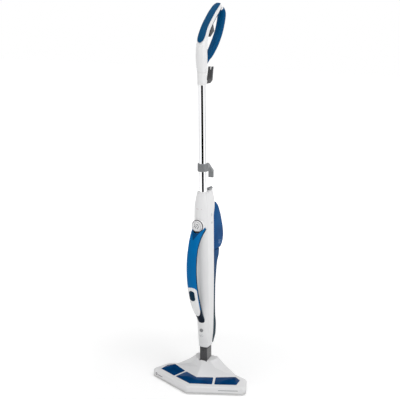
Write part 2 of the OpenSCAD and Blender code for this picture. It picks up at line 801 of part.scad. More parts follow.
// Front limb: middle y, height above 1003, half width change, half thickness
limb_line = [[-8, 0, 0.5, 15.5], [-8.5, 22, 1.8, 16.8], [-9.5, 44, 2.6, 17.4], [-9, 64, 2.2, 16.8], [-6, 84, 0.8, 15],
    [1.5, 102, -0.5, 13.4], [13, 120, -1.5, 12.6], [28, 136, -1.5, 12.3], [45, 150.5, -1.5, 12.2], [63, 165, -1.5, 12],
    [82, 178.5, -2, 11], [96, 188, -3, 9.4], [105, 194, -6, 6.5]];

function limb_station(line, i, half) = let (p = line[i], n = len(line), a = line[max(i - 1, 0)],
        b = line[min(i + 1, n - 1)], v = i == 0 ? [0, 1] : unit([b[0] - a[0], b[1] - a[1]]), power = i < 4 ? 1 : 0.8)
    [p[0], shell_z + (i == 0 ? 0 : handle_lift) + p[1], half + p[2], p[3], v.x, v.y, power];

// The foot of the front limb grows with the tube that it holds
function on_tube(s, i) = let (more = i < 4 ? tube_r - 12.5 : 0) [s[0], s[1], s[2] + more, s[3] + more, s[4], s[5], s[6]];

limb_stations = [for (i = [0 : len(limb_line) - 1]) on_tube(limb_station(limb_line, i, limb_half_w), i)];

// Rear limb, from the top of the loop down to the front limb
arm_line = [[2, 20, -3, 6.5], [24, 36, -3, 6.5], [38, 46, -0.5, 8.6], [57, 61, 0, 9.6], [76, 79, 0, 10], [93, 98, 0, 10], [107, 118, 0, 10],
    [117, 138, 0, 10], [123.5, 156, 0, 10], [125.5, 170, -0.5, 9.6], [121, 181, -2.5, 8], [112, 187, -5, 6]];
arm_stations = [for (i = [0 : len(arm_line) - 1]) let (s = limb_station(arm_line, i, arm_half_w))
    i == 0 ? [s[0], s[1] + handle_lift, s[2], s[3], unit([14, 10]).x, unit([14, 10]).y, 1] : s];

trigger_pivot = [46, shell_z + lift - stretch + 145];
trigger_half = 8;

module trigger_slot() {
    w = trigger_half + slide_gap;
    translate([-w, trigger_pivot.x - 24, trigger_pivot.y - 46]) rotate([0, 90, 0]) rotate([0, 0, 90])
        linear_extrude(2 * w) polygon([[0, 0], [24, 4], [52, 34], [34, 50], [20, 44], [-4, 14]]);
}

module handle_half(side) {
    difference() {
        translate([side * 0.1, 0, 0]) limb_shell(limb_stations, side > 0 ? -90 : 90, side > 0 ? 90 : 270, 0, shell_wall);
        trigger_slot();
        translate([0, trigger_pivot.x, trigger_pivot.y]) along_x(trigger_pin_r + run_gap, -11.9, 11.9);
    }
}

module handle_shell_left() { color(white) handle_half(-1); }
module handle_shell_right() { color(white) handle_half(1); }

module front_grip() {
    color(blue) limb_shell([for (i = [4 : len(limb_line) - 1]) limb_stations[i]], 42, 138, 1.8, 1.7);
}

// The front limb as one solid, with the fixed seam added, to trim the rear limb's ends
module limb_body() {
    skin([for (s = limb_stations) [for (i = [19 : -1 : 0]) limb_point(s, i * 18, -seam)]]);
}

module rear_grip(side) {
    difference() {
        translate([side * 0.1, 0, 0]) limb_shell(arm_stations, side > 0 ? -90 : 90, side > 0 ? 90 : 270, 0, 3);
        limb_body();
    }
}

module rear_grip_left() { color(blue) rear_grip(-1); }
module rear_grip_right() { color(blue) rear_grip(1); }

trigger_pin_r = 2;
module trigger() {
    color(dark) difference() {
        translate([-trigger_half, trigger_pivot.x, trigger_pivot.y]) rotate([0, 90, 0]) rotate([0, 0, 90])
            linear_extrude(2 * trigger_half)
                polygon([[-4, 3], [3, 4], [7, -8], [13, -27], [-12, -43], [-17, -38], [-8, -18]]);
        translate([0, trigger_pivot.x, trigger_pivot.y]) along_x(trigger_pin_r + run_gap, -20, 20);
    }
}

module trigger_pin() {
    color(steel) translate([0, trigger_pivot.x, trigger_pivot.y]) along_x(trigger_pin_r, -11.7, 11.7);
}

module trigger_microswitch() {
    color(dark) translate([-3, limb_stations[6][0] - 8, limb_stations[6][1] - 8]) cube([6, 7, 13]);
}

module tube_harness() {
    color("black") translate([0, tube_y, socket_z + 12]) cylinder(r = 4, h = tube_top - socket_z - 4);
}

// Cord hook on the sleeve, which swivels about the pin
hook_z = sleeve_z + 9;
hook_pin_r = 3.95;
hook_y = 46;
hook_half = 8;
hook_rise = 41;

module cord_hook() {
    y0 = tube_y + tube_r + 9 + slide_gap;
    color(dark) difference() {
        union() {
            translate([-hook_half, 0, hook_z]) rotate([90, 0, 90]) linear_extrude(2 * hook_half)
                polygon([[y0, -7], [32, -7], [hook_y, 0], [hook_y + 8, hook_rise], [hook_y + 2, hook_rise],
                    [hook_y - 7, 8], [32, 6], [y0, 6]]);
        }
        translate([0, 0, hook_z]) along_y(hook_pin_r + run_gap, y0 - 1, y0 + 18);
        translate([-2.5, hook_y - 5, hook_z + hook_rise - 9]) cube([5, 20, 20]);
    }
}

module hook_pin() {
    color(steel) translate([0, 0, hook_z]) along_y(hook_pin_r, tube_y + tube_r + 0.6, tube_y + tube_r + 26);
}

// Lower hook on a collar that turns on the tube
collar_z = 698;
collar_h = 24;
collar_r = tube_r + 3.7;

module collar_hook() {
    y1 = tube_y + tube_r;
    color(grey) difference() {
        union() {
            translate([0, tube_y, collar_z]) cylinder(r = collar_r, h = collar_h);
            translate([-hook_half, 0, 0]) rotate([90, 0, 90]) linear_extrude(2 * hook_half)
                polygon([[y1 + 1, 720], [y1 + 14, 720], [50, 691], [50, 668], [43, 668], [43, 686], [24, 705], [y1 + 1, 705]]);
        }
        translate([0, tube_y, collar_z - 1]) cylinder(r = tube_r + run_gap, h = 80);
    }
}

head_cover();
head_base();
window_left();
window_centre();
window_right();
cloth_pad();
velcro_strips();
steam_distributor();
hub_bracket();
pitch_pin();
head_screws();
neck_fork();
roll_pin();
neck_connector();
plug_seal();
base_ring();
front_casing();
rear_casing();
top_cap();
tube_socket();
rear_cover();
cord_gland();
knob_bezel();
regulation_knob();
regulation_valve();
carry_grip_front();
carry_grip_rear();
handle_cap();
steam_button();
steam_microswitch();
release_button();
boiler();
heating_element();
thermostats();
pump();
filter_cartridge();
water_hoses();
steam_pipe();
circuit_board();
casing_screws();
water_tank();
tank_lid();
filler_cap();
tank_valve();
chrome_tube();
handle_sleeve();
handle_shell_left();
handle_shell_right();
front_grip();
rear_grip_left();
rear_grip_right();
trigger();
trigger_pin();
trigger_microswitch();
tube_harness();
cord_hook();
hook_pin();
collar_hook();
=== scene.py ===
# Upright steam mop: smooth plastic shells, chrome tube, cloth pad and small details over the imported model.
# Metres, +Z up, front towards -Y. The shape tables are in millimetres.
import bpy
import bmesh
import json
import math
from mathutils import Matrix, Vector, noise


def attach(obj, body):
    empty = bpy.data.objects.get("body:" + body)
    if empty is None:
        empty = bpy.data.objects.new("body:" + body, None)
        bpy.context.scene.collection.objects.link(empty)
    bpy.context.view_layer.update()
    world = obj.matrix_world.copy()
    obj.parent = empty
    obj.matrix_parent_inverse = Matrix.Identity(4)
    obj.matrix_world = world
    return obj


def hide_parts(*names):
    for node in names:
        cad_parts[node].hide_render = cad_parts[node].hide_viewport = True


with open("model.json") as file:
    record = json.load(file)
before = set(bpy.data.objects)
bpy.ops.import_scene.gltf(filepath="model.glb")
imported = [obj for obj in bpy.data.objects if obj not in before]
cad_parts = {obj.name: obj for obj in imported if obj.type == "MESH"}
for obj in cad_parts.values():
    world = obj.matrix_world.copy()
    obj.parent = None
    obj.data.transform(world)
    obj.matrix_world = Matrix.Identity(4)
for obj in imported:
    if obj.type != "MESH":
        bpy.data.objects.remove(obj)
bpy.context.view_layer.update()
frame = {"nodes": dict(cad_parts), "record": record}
cadNodes = frame["nodes"]
mm = 0.001

# Camera, lights and floor

cameraSpec = {
    "place": (1.296, -2.437, 1.287),
    "azimuth": 28.0,
    "down": 13.9,
    "roll": -0.5,
    "lens": 81.9,
    "shift": -0.011,
}


def makeCamera(spec):
    data = bpy.data.cameras.new("viewCamera")
    data.lens = spec["lens"]
    data.sensor_width = 36
    data.shift_x = spec["shift"]
    data.clip_end = 50
    camera = bpy.data.objects.new("viewCamera", data)
    bpy.context.collection.objects.link(camera)
    turn = (Matrix.Rotation(math.radians(spec["azimuth"]), 3, "Z")
            @ Matrix.Rotation(math.radians(90 - spec["down"]), 3, "X")
            @ Matrix.Rotation(math.radians(spec["roll"]), 3, "Z"))
    camera.rotation_euler = turn.to_euler()
    camera.location = spec["place"]
    bpy.context.scene.camera = camera


def linear(red, green, blue):
    # sRGB bytes to the linear colour that a shader takes
    values = [c / 255 for c in (red, green, blue)]
    return tuple(c / 12.92 if c < 0.04 else ((c + 0.055) / 1.055) ** 2.4 for c in values) + (1.0,)


lightSpec = {
    "sky": 0.48,
    "seen": 1.0,
    "key": {"place": (2.6, -0.9, 2.3), "size": (1.6, 2.2), "power": 24},
    "front": {"place": (-1.6, -3.0, 2.4), "size": (1.4, 1.6), "power": 2},
    "top": {"place": (0.2, -0.4, 3.4), "size": (2.4, 2.4), "power": 46},
}


def makeLights(spec):
    world = bpy.data.worlds.new("studio")
    bpy.context.scene.world = world
    world.use_nodes = True
    tree = world.node_tree
    background = tree.nodes["Background"]
    background.inputs["Color"].default_value = (1, 1, 1, 1)
    # diffuse light comes from a dimmer room than the white one that the camera and the chrome see
    path = tree.nodes.new("ShaderNodeLightPath")
    strength = tree.nodes.new("ShaderNodeMapRange")
    strength.inputs["To Min"].default_value = spec["seen"]
    strength.inputs["To Max"].default_value = spec["sky"]
    tree.links.new(path.outputs["Is Diffuse Ray"], strength.inputs["Value"])
    tree.links.new(strength.outputs["Result"], background.inputs["Strength"])
    for name in ("key", "front", "top"):
        data = bpy.data.lights.new(name + "Light", "AREA")
        data.shape = "RECTANGLE"
        data.size, data.size_y = spec[name]["size"]
        data.energy = spec[name]["power"]
        light = bpy.data.objects.new(name + "Light", data)
        bpy.context.collection.objects.link(light)
        light.location = spec[name]["place"]
        aim = Vector((0, 0, 0.5)) - light.location
        light.rotation_euler = aim.to_track_quat("-Z", "Y").to_euler()
    bpy.context.scene.view_settings.view_transform = "Standard"
    bpy.context.scene.view_settings.look = "None"


floorSpec = {
    "half": 9.0,
    "below": 0.0004,  # a hair under the pad, so that the two faces don't meet
    "colour": (0.93, 0.93, 0.93, 1.0),
    "lift": 0.15,
    "farLift": 0.6,
    "near": 0.35,
    "far": 1.6,
}


def makeFloor(spec):
    half = spec["half"]
    mesh = bpy.data.meshes.new("floor")
    mesh.from_pydata([(-half, -half, 0), (half, -half, 0), (half, half, 0), (-half, half, 0)],
                     [], [(0, 1, 2, 3)])
    floor = bpy.data.objects.new("floor", mesh)
    bpy.context.collection.objects.link(floor)
    floor.location.z = -spec["below"]
    material = bpy.data.materials.new("floorPaint")
    material.use_nodes = True
    shader = material.node_tree.nodes["Principled BSDF"]
    shader.inputs["Base Color"].default_value = spec["colour"]
    shader.inputs["Roughness"].default_value = 0.75
    shader.inputs["Emission Color"].default_value = (1, 1, 1, 1)
    # the floor glows a little more with distance, so that only the soft shadow near the head is left
    tree = material.node_tree
    place = tree.nodes.new("ShaderNodeTexCoord")
    away = tree.nodes.new("ShaderNodeVectorMath")
    away.operation = "LENGTH"
    glow = tree.nodes.new("ShaderNodeMapRange")
    for label, value in (("From Min", spec["near"]), ("From Max", spec["far"]), ("To Min", spec["lift"]),
                         ("To Max", spec["farLift"])):
        glow.inputs[label].default_value = value
    tree.links.new(place.outputs["Object"], away.inputs[0])
    tree.links.new(away.outputs["Value"], glow.inputs["Value"])
    tree.links.new(glow.outputs["Result"], shader.inputs["Emission Strength"])
    mesh.materials.append(material)


# Dark and pale cards that only reflections see: they draw the stripe down the chrome tube
cardSpec = {
    "dark": {"azimuth": 24.0, "half": 0.6, "shade": 0.002},
    "left": {"azimuth": -71.0, "half": 0.12, "shade": 0.35},
    "right": {"azimuth": 118.0, "half": 0.22, "shade": 0.6},
    "behind": {"azimuth": 215.0, "half": 0.3, "shade": 0.02},
}
cardPlace = {"distance": 1.1, "low": 0.3, "high": 1.6}


def makeCards(spec, place):
    for name, card in spec.items():
        angle = math.radians(card["azimuth"])
        out = Vector((math.sin(angle), -math.cos(angle), 0))
        side = Vector((math.cos(angle), math.sin(angle), 0)) * card["half"]
        middle = out * place["distance"]
        low, high = Vector((0, 0, place["low"])), Vector((0, 0, place["high"]))
        mesh = bpy.data.meshes.new(name + "Card")
        corners = [middle - side + low, middle + side + low, middle + side + high, middle - side + high]
        mesh.from_pydata(corners, [], [(0, 1, 2, 3)])
        panel = bpy.data.objects.new(name + "Card", mesh)
        bpy.context.collection.objects.link(panel)
        material = bpy.data.materials.new(name + "CardPaint")
        material.use_nodes = True
        shader = material.node_tree.nodes["Principled BSDF"]
        shader.inputs["Base Color"].default_value = (card["shade"],) * 3 + (1,)
        shader.inputs["Roughness"].default_value = 1.0
        shader.inputs["Specular IOR Level"].default_value = 0.0
        mesh.materials.append(material)
        panel.visible_camera = False
        panel.visible_diffuse = False
        panel.visible_shadow = False
        panel.visible_transmission = False


makeCamera(cameraSpec)
makeLights(lightSpec)
makeFloor(floorSpec)
makeCards(cardSpec, cardPlace)
print("camera, lights and floor are set")

# Materials: every one reads Object coordinates, so a pattern stays on its piece


def startMaterial(name):
    material = bpy.data.materials.new(name)
    material.use_nodes = True
    tree = material.node_tree
    shader = tree.nodes["Principled BSDF"]
    place = tree.nodes.new("ShaderNodeTexCoord")
    return material, tree, shader, place.outputs["Object"]


def noiseAt(tree, place, scale, detail=3.0):
    node = tree.nodes.new("ShaderNodeTexNoise")
    node.inputs["Scale"].default_value = scale
    node.inputs["Detail"].default_value = detail
    tree.links.new(place, node.inputs["Vector"])
    return node.outputs["Fac"]


def rampOf(tree, fac, stops):
    node = tree.nodes.new("ShaderNodeValToRGB")
    ramp = node.color_ramp
    while len(ramp.elements) < len(stops):
        ramp.elements.new(0.5)
    for element, (at, colour) in zip(ramp.elements, stops):
        element.position = at
        element.color = colour
    tree.links.new(fac, node.inputs["Fac"])
    return node.outputs["Color"]


def spanOf(tree, fac, low, high, fromLow=0.3, fromHigh=0.7):
    node = tree.nodes.new("ShaderNodeMapRange")
    node.inputs["From Min"].default_value = fromLow
    node.inputs["From Max"].default_value = fromHigh
    node.inputs["To Min"].default_value = low
    node.inputs["To Max"].default_value = high
    tree.links.new(fac, node.inputs["Value"])
    return node.outputs["Result"]


def bumpOf(tree, shader, height, distance, strength=1.0):
    node = tree.nodes.new("ShaderNodeBump")
    node.inputs["Distance"].default_value = distance
    node.inputs["Strength"].default_value = strength
    tree.links.new(height, node.inputs["Height"])
    tree.links.new(node.outputs["Normal"], shader.inputs["Normal"])


def greyStops(low, high):
    return [(0.3, (low[0], low[1], low[2], 1)), (0.7, (high[0], high[1], high[2], 1))]


def shadeOf(colour, factor):
    return tuple(min(c * factor, 1) for c in colour[:3]) + (1.0,)


# Moulded plastic: slight drift of colour and gloss, and a fine spark-eroded grain
def mouldedPlastic(name, colour, rough, drift=0.05, grain=700.0, depth=0.000012, spread=0.05, shine=0.5,
                   low=None):
    material, tree, shader, place = startMaterial(name)
    broad = noiseAt(tree, place, 14.0, 2.0)
    tone = rampOf(tree, broad, [(0.3, shadeOf(colour, 1 - drift)), (0.7, shadeOf(colour, 1 + drift))])
    if low:
        # low holds a second colour, and the heights where it is full and where it ends
        split = tree.nodes.new("ShaderNodeSeparateXYZ")
        tree.links.new(place, split.inputs["Vector"])
        blend = tree.nodes.new("ShaderNodeMix")
        blend.data_type = "RGBA"
        tree.links.new(spanOf(tree, split.outputs["Z"], 0, 1, low[1], low[2]), blend.inputs["Factor"])
        blend.inputs[6].default_value = low[0]
        tree.links.new(tone, blend.inputs[7])
        tone = blend.outputs[2]
    tree.links.new(tone, shader.inputs["Base Color"])
    tree.links.new(spanOf(tree, noiseAt(tree, place, 45.0, 4.0), rough - spread, rough + spread),
                   shader.inputs["Roughness"])
    bumpOf(tree, shader, noiseAt(tree, place, grain, 2.0), depth)
    shader.inputs["Specular IOR Level"].default_value = shine
    return material


def polishedChrome(name):
    material, tree, shader, place = startMaterial(name)
    shader.inputs["Metallic"].default_value = 1.0
    streak = tree.nodes.new("ShaderNodeMapping")
    streak.inputs["Scale"].default_value = (900, 900, 6)
    tree.links.new(place, streak.inputs["Vector"])
    fine = noiseAt(tree, streak.outputs["Vector"], 1.0, 3.0)
    tone = rampOf(tree, noiseAt(tree, place, 9.0), greyStops((0.86, 0.87, 0.88), (0.93, 0.93, 0.94)))
    tree.links.new(tone, shader.inputs["Base Color"])
    tree.links.new(spanOf(tree, fine, 0.02, 0.05), shader.inputs["Roughness"])
    return material


def turnedSteel(name):
    material, tree, shader, place = startMaterial(name)
    shader.inputs["Metallic"].default_value = 1.0
    tone = rampOf(tree, noiseAt(tree, place, 300.0, 4.0), greyStops((0.42, 0.42, 0.43), (0.62, 0.62, 0.62)))
    tree.links.new(tone, shader.inputs["Base Color"])
    tree.links.new(spanOf(tree, noiseAt(tree, place, 700.0), 0.25, 0.42), shader.inputs["Roughness"])
    bumpOf(tree, shader, noiseAt(tree, place, 1500.0), 0.00002)
    return material


# Woven or looped cloth: tiny knots over a soft drift
def loopedCloth(name, colour, knots=650.0, depth=0.0009):
    material, tree, shader, place = startMaterial(name)
    cells = tree.nodes.new("ShaderNodeTexVoronoi")
    cells.inputs["Scale"].default_value = knots
    tree.links.new(place, cells.inputs["Vector"])
    stops = [(0.0, shadeOf(colour, 1.04)), (0.75, shadeOf(colour, 0.86))]
    tone = rampOf(tree, cells.outputs["Distance"], stops)
    tree.links.new(tone, shader.inputs["Base Color"])
    shader.inputs["Roughness"].default_value = 0.95
    shader.inputs["Sheen Weight"].default_value = 0.35
    shader.inputs["Sheen Roughness"].default_value = 0.5
    bumpOf(tree, shader, cells.outputs["Distance"], depth, 0.6)
    return material


# Tinted plastic of the tank and the windows: a deep colour with a paler haze, and little glare
def tintedPlastic(name, deep, pale, rough=0.14, haze=22.0):
    material, tree, shader, place = startMaterial(name)
    tree.links.new(rampOf(tree, noiseAt(tree, place, haze, 2.0), [(0.32, deep), (0.72, pale)]),
                   shader.inputs["Base Color"])
    gloss = spanOf(tree, noiseAt(tree, place, 60.0), rough * 0.7, rough * 1.5)
    tree.links.new(gloss, shader.inputs["Roughness"])
    shader.inputs["Specular IOR Level"].default_value = 0.03
    bumpOf(tree, shader, noiseAt(tree, place, 160.0, 1.0), 0.00003)
    return material


def castAlloy(name):
    material, tree, shader, place = startMaterial(name)
    shader.inputs["Metallic"].default_value = 0.9
    tone = rampOf(tree, noiseAt(tree, place, 120.0, 5.0), greyStops((0.36, 0.36, 0.36), (0.52, 0.52, 0.51)))
    tree.links.new(tone, shader.inputs["Base Color"])
    shader.inputs["Roughness"].default_value = 0.5
    bumpOf(tree, shader, noiseAt(tree, place, 500.0, 4.0), 0.0002)
    return material


def circuitBoard(name):
    material, tree, shader, place = startMaterial(name)
    tracks = tree.nodes.new("ShaderNodeTexBrick")
    tracks.inputs["Scale"].default_value = 160.0
    tracks.inputs["Color1"].default_value = (0.01, 0.12, 0.04, 1)
    tracks.inputs["Color2"].default_value = (0.015, 0.16, 0.06, 1)
    tracks.inputs["Mortar"].default_value = (0.25, 0.3, 0.12, 1)
    tree.links.new(place, tracks.inputs["Vector"])
    tree.links.new(tracks.outputs["Color"], shader.inputs["Base Color"])
    shader.inputs["Roughness"].default_value = 0.4
    return material


finish = {
    "white_plastic": mouldedPlastic("whitePlastic", (0.72, 0.72, 0.725, 1), rough=0.32, drift=0.012,
                                    spread=0.03),
    "blue_plastic": mouldedPlastic("bluePlastic", linear(0, 98, 158), rough=0.4, drift=0.08, shine=0.05),
    "navy_plastic": mouldedPlastic("navyPlastic", linear(4, 40, 62), rough=0.4, drift=0.1, shine=0.05),
    "tank_plastic": tintedPlastic("tankPlastic", linear(2, 64, 116), linear(4, 78, 134)),
    "window_plastic": tintedPlastic("windowPlastic", linear(0, 48, 92), linear(2, 64, 114), haze=34.0),
    "dark_plastic": mouldedPlastic("darkPlastic", linear(66, 66, 68), rough=0.45, drift=0.08, depth=0.00005,
                                   shine=0.3),
    "grey_plastic": mouldedPlastic("greyPlastic", linear(122, 124, 126), rough=0.42, drift=0.06,
                                   depth=0.00005),
    "cloth": loopedCloth("padCloth", (0.84, 0.84, 0.835, 1)),
    "hook_loop": loopedCloth("hookLoop", (0.3, 0.3, 0.3, 1), 900.0, 0.0006),
    "chrome": polishedChrome("chrome"),
    "steel": turnedSteel("steel"),
    "seal_rubber": mouldedPlastic("sealRubber", (0.02, 0.02, 0.02, 1), rough=0.7, depth=0.00005, shine=0.2),
    "boiler_metal": castAlloy("boilerMetal"),
    "filter_resin": mouldedPlastic("filterResin", (0.5, 0.7, 0.46, 1), rough=0.5, drift=0.15),
    "hose": mouldedPlastic("hoseSilicone", (0.7, 0.7, 0.68, 1), rough=0.4),
    "board": circuitBoard("boardGreen"),
}
other = {
    "grip": mouldedPlastic("softGrip", linear(6, 66, 104), rough=0.5, drift=0.08, depth=0.00005, shine=0.05),
    "rearGrip": mouldedPlastic("rearGrip", linear(0, 68, 112), rough=0.42, drift=0.08, shine=0.05),
    "cover": mouldedPlastic("coverBlue", linear(4, 64, 112), rough=0.42, drift=0.06, shine=0.05,
                            low=(linear(34, 56, 68), 0.25, 0.42)),
    # A dark-blue part whose near-black colour is also painted shade around the lower end of the white tongue
    "trim": mouldedPlastic("darkTrimAndShade", linear(8, 20, 36), rough=0.4, shine=0.1),
    # A darker blue that is painted shade for the V-shaped facet at the top of the carrying handle
    "facetShade": mouldedPlastic("facetShadeBlue", linear(0, 60, 106), rough=0.4, shine=0.05),
    "printed": mouldedPlastic("printedMark", linear(150, 152, 156), rough=0.5),
    "ink": mouldedPlastic("inkMark", linear(96, 98, 104), rough=0.5, shine=0.1),
    "accent": mouldedPlastic("accentMark", linear(150, 72, 72), rough=0.5),
    "pale": mouldedPlastic("paleMark", linear(150, 176, 204), rough=0.4),
    # innerShade is painted shade: a dark colour for the shaded inner side of the handle's front limb
    "shadow": mouldedPlastic("innerShade", linear(40, 58, 76), rough=0.5, shine=0.1),
    # This dark colour serves the printed marks on the head's rim, and the painted rim shadow around the knob
    "outline": mouldedPlastic("printAndRimShade", linear(52, 46, 58), rough=0.5, shine=0.1),
    "ribs": mouldedPlastic("neckRib", linear(96, 96, 97), rough=0.5, shine=0.2),
    "sideLines": mouldedPlastic("neckSideRib", linear(142, 142, 142), rough=0.5, shine=0.2),
    "thread": loopedCloth("bindingThread", (0.72, 0.72, 0.72, 1), 1600.0, 0.0003),
}

for item in frame["record"]["subparts"]:
    cadMesh = cadNodes[item["node"]].data
    cadMesh.materials.clear()
    cadMesh.materials.append(finish[item["material_slot"]])
print("materials are set on every node")

# Building helpers

slotOf = {item["node"]: item["material_slot"] for item in frame["record"]["subparts"]}
bodyOf = {node: body for body, members in frame["record"]["behaviour"]["bodies"].items() for node in members}


def finishPiece(name, mesh, body, material, replaced=(), sharp=32.0):
    mesh.materials.clear()
    mesh.materials.append(material)
    mesh.polygons.foreach_set("use_smooth", [True] * len(mesh.polygons))
    mesh.set_sharp_from_angle(angle=math.radians(sharp))
    piece = bpy.data.objects.new(name, mesh)
    bpy.context.collection.objects.link(piece)
    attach(piece, body)
    if replaced:
        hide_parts(*replaced)
    return piece


# A merged mesh from points in millimetres, with every face turned outwards
def meshFrom(name, verts, faces):
    mesh = bpy.data.meshes.new(name)
    mesh.from_pydata([Vector(v) * mm for v in verts], [], faces)
    shape = bmesh.new()
    shape.from_mesh(mesh)
    bmesh.ops.remove_doubles(shape, verts=shape.verts, dist=1e-6)
    bmesh.ops.recalc_face_normals(shape, faces=shape.faces)
    shape.to_mesh(mesh)
    shape.free()
    return mesh


# Closed skin through rings that have the same number of points
def loftRings(rings):
    count = len(rings[0])
    verts = [p for ring in rings for p in ring]
    faces = []
    for i in range(len(rings) - 1):
        for j in range(count):
            a, b = i * count + j, i * count + (j + 1) % count
            faces.append((a, b, b + count, a + count))
    faces.append(tuple(range(count - 1, -1, -1)))
    faces.append(tuple((len(rings) - 1) * count + j for j in range(count)))
    return verts, faces


# Smooth value between table entries, without overshoot
def eased(table, t):
    if t <= table[0][0]:
        return table[0][1]
    if t >= table[-1][0]:
        return table[-1][1]
    slopes = [(b[1] - a[1]) / (b[0] - a[0]) for a, b in zip(table, table[1:])]

    def slopeAt(i):
        if i == 0 or i == len(table) - 1:
            return slopes[min(i, len(slopes) - 1)]
        left, right = slopes[i - 1], slopes[i]
        return 0 if left * right <= 0 else 2 * left * right / (left + right)

    i = max(k for k in range(len(table) - 1) if table[k][0] <= t)
    (x0, y0), (x1, y1) = table[i], table[i + 1]
    h = x1 - x0
    s = (t - x0) / h
    m0, m1 = slopeAt(i) * h, slopeAt(i + 1) * h
    return (y0 * (1 + 2 * s) * (1 - s) ** 2 + m0 * s * (1 - s) ** 2
            + y1 * s * s * (3 - 2 * s) + m1 * s * s * (s - 1))


# Catmull-Rom through rows of numbers
def through(rows, parts):
    out = []
    for i in range(len(rows) - 1):
        p0, p1, p2, p3 = rows[max(i - 1, 0)], rows[i], rows[i + 1], rows[min(i + 2, len(rows) - 1)]
        for k in range(parts):
            s = k / parts
            out.append([0.5 * (2 * b + (c - a) * s + (2 * a - 5 * b + 4 * c - d) * s * s
                               + (3 * b - a - 3 * c + d) * s ** 3) for a, b, c, d in zip(p0, p1, p2, p3)])
    out.append(list(rows[-1]))
    return out


# A merged, cleaned copy of a node with softened edges
def softened(node, name, width, material=None, sharp=32.0, limit=38.0):
    shape = bmesh.new()
    shape.from_mesh(cadNodes[node].data)
    bmesh.ops.remove_doubles(shape, verts=shape.verts, dist=4e-6)
    bmesh.ops.dissolve_limit(shape, angle_limit=math.radians(0.4), verts=shape.verts, edges=shape.edges)
    mesh = bpy.data.meshes.new(name)
    shape.to_mesh(mesh)
    shape.free()
    if width:
        holder = bpy.data.objects.new(name + "Rough", mesh)
        bpy.context.collection.objects.link(holder)
        bevel = holder.modifiers.new("soft", "BEVEL")
        bevel.width = width * mm
        bevel.segments = 2
        bevel.limit_method = "ANGLE"
        bevel.angle_limit = math.radians(limit)
        graph = bpy.context.evaluated_depsgraph_get()
        mesh = bpy.data.meshes.new_from_object(holder.evaluated_get(graph))
        bpy.data.objects.remove(holder)
        mesh.name = name
    finishPiece(name, mesh, bodyOf[node], material or finish[slotOf[node]], (node,), sharp)


def withoutCutter(mesh, cutter):
    body = bpy.data.objects.new("body", mesh)
    tool = bpy.data.objects.new("tool", cutter)
    for item in (body, tool):
        bpy.context.collection.objects.link(item)
    cut = body.modifiers.new("cut", "BOOLEAN")
    cut.operation = "DIFFERENCE"
    cut.solver = "EXACT"
    cut.object = tool
    result = bpy.data.meshes.new_from_object(body.evaluated_get(bpy.context.evaluated_depsgraph_get()))
    for item in (body, tool):
        bpy.data.objects.remove(item)
    return result


# Casings: a bowed front panel and a flat-sided back, both smooth along their height

casing = {
    "bottom": 133.0,
    "top": 629.0,
    "wall": 2.2,
    "halfWidth": [(0, 16), (0.06, 18.5), (0.18, 21.5), (0.34, 23), (0.53, 24), (0.8, 24), (0.91, 22.5),
                  (0.97, 19), (1, 16.5)],
    "front": [(0, -21), (0.06, -26), (0.18, -32), (0.34, -36), (0.53, -38), (0.8, -43), (0.91, -38),
              (0.97, -32), (1, -26)],
    "crease": [(0, -17), (0.06, -16), (0.18, -18), (0.34, -22), (0.53, -24), (0.91, -24), (0.97, -21),
               (1, -18)],
    "back": [(0, 21), (0.06, 23), (0.18, 21), (0.84, 21), (0.9, 30), (0.95, 33), (1, 31)],
    "parting": 0.5,
    "corner": 6.0,
    "stations": 90,
    "across": 14,
}


def caseHeight(t):
    return casing["bottom"] + t * (casing["top"] - casing["bottom"])


def caseShare(z):
    return (z - casing["bottom"]) / (casing["top"] - casing["bottom"])


def panelDepth(z, x):
    t = caseShare(z)
    front, crease = eased(casing["front"], t), eased(casing["crease"], t)
    return front + (crease - front) * (x / eased(casing["halfWidth"], t)) ** 2


def bowedLine(t, inset):
    front, crease = eased(casing["front"], t), eased(casing["crease"], t)
    half = eased(casing["halfWidth"], t) - inset
    count = casing["across"]
    return [(half * i / count, front + inset + (crease - front - inset) * (i / count) ** 2)
            for i in range(count, -count - 1, -1)]


def wrappedLine(t, inset):
    half, back = eased(casing["halfWidth"], t) - inset, eased(casing["back"], t) - inset
    radius, start = casing["corner"] - inset, eased(casing["crease"], t) + casing["parting"]
    arc = [(math.cos(math.radians(a)), math.sin(math.radians(a))) for a in range(0, 91, 10)]
    right = [(half, start)] + [(half - radius + radius * c, back - radius + radius * s) for c, s in arc]
    return right + [(-x, y) for x, y in reversed(right)]


def makeCasings():
    shares = [i / casing["stations"] for i in range(casing["stations"] + 1)]
    for name, lineOf, node in (("frontPanel", bowedLine, "front_casing"),
                               ("rearPanel", wrappedLine, "rear_casing")):
        rings = []
        for t in shares:
            line = lineOf(t, 0) + lineOf(t, casing["wall"])[::-1]
            rings.append([(x, y, caseHeight(t)) for x, y in line])
        finishPiece(name, meshFrom(name, *loftRings(rings)), "steam_unit",
                    finish["white_plastic"], (node,))


makeCasings()
softened("base_ring", "baseRing", 0.4)
softened("top_cap", "topCap", 0.5)
softened("cord_gland", "cordOutlet", 0.6)
print("casings are done")

# Limbs: closed shells swept along a line of oval sections in the YZ plane


def ovalPoint(station, angle, inset):
    y, z, half, thick, ty, tz, power = station
    c, s = math.cos(math.radians(angle)), math.sin(math.radians(angle))
    u = (half - inset) * math.copysign(abs(c) ** power, c)
    w = (thick - inset) * math.copysign(abs(s) ** power, s)
    return (u, y - tz * w, z + ty * w)


# rows hold y, z, half width, half thickness and section power; parts is the steps from row to row
def stationsFrom(rows, parts):
    fine = through(rows, parts)
    out = []
    for i, row in enumerate(fine):
        a, b = fine[max(i - 1, 0)], fine[min(i + 1, len(fine) - 1)]
        length = math.hypot(b[0] - a[0], b[1] - a[1])
        out.append([row[0], row[1], row[2], row[3], (b[0] - a[0]) / length, (b[1] - a[1]) / length, row[4]])
    return out


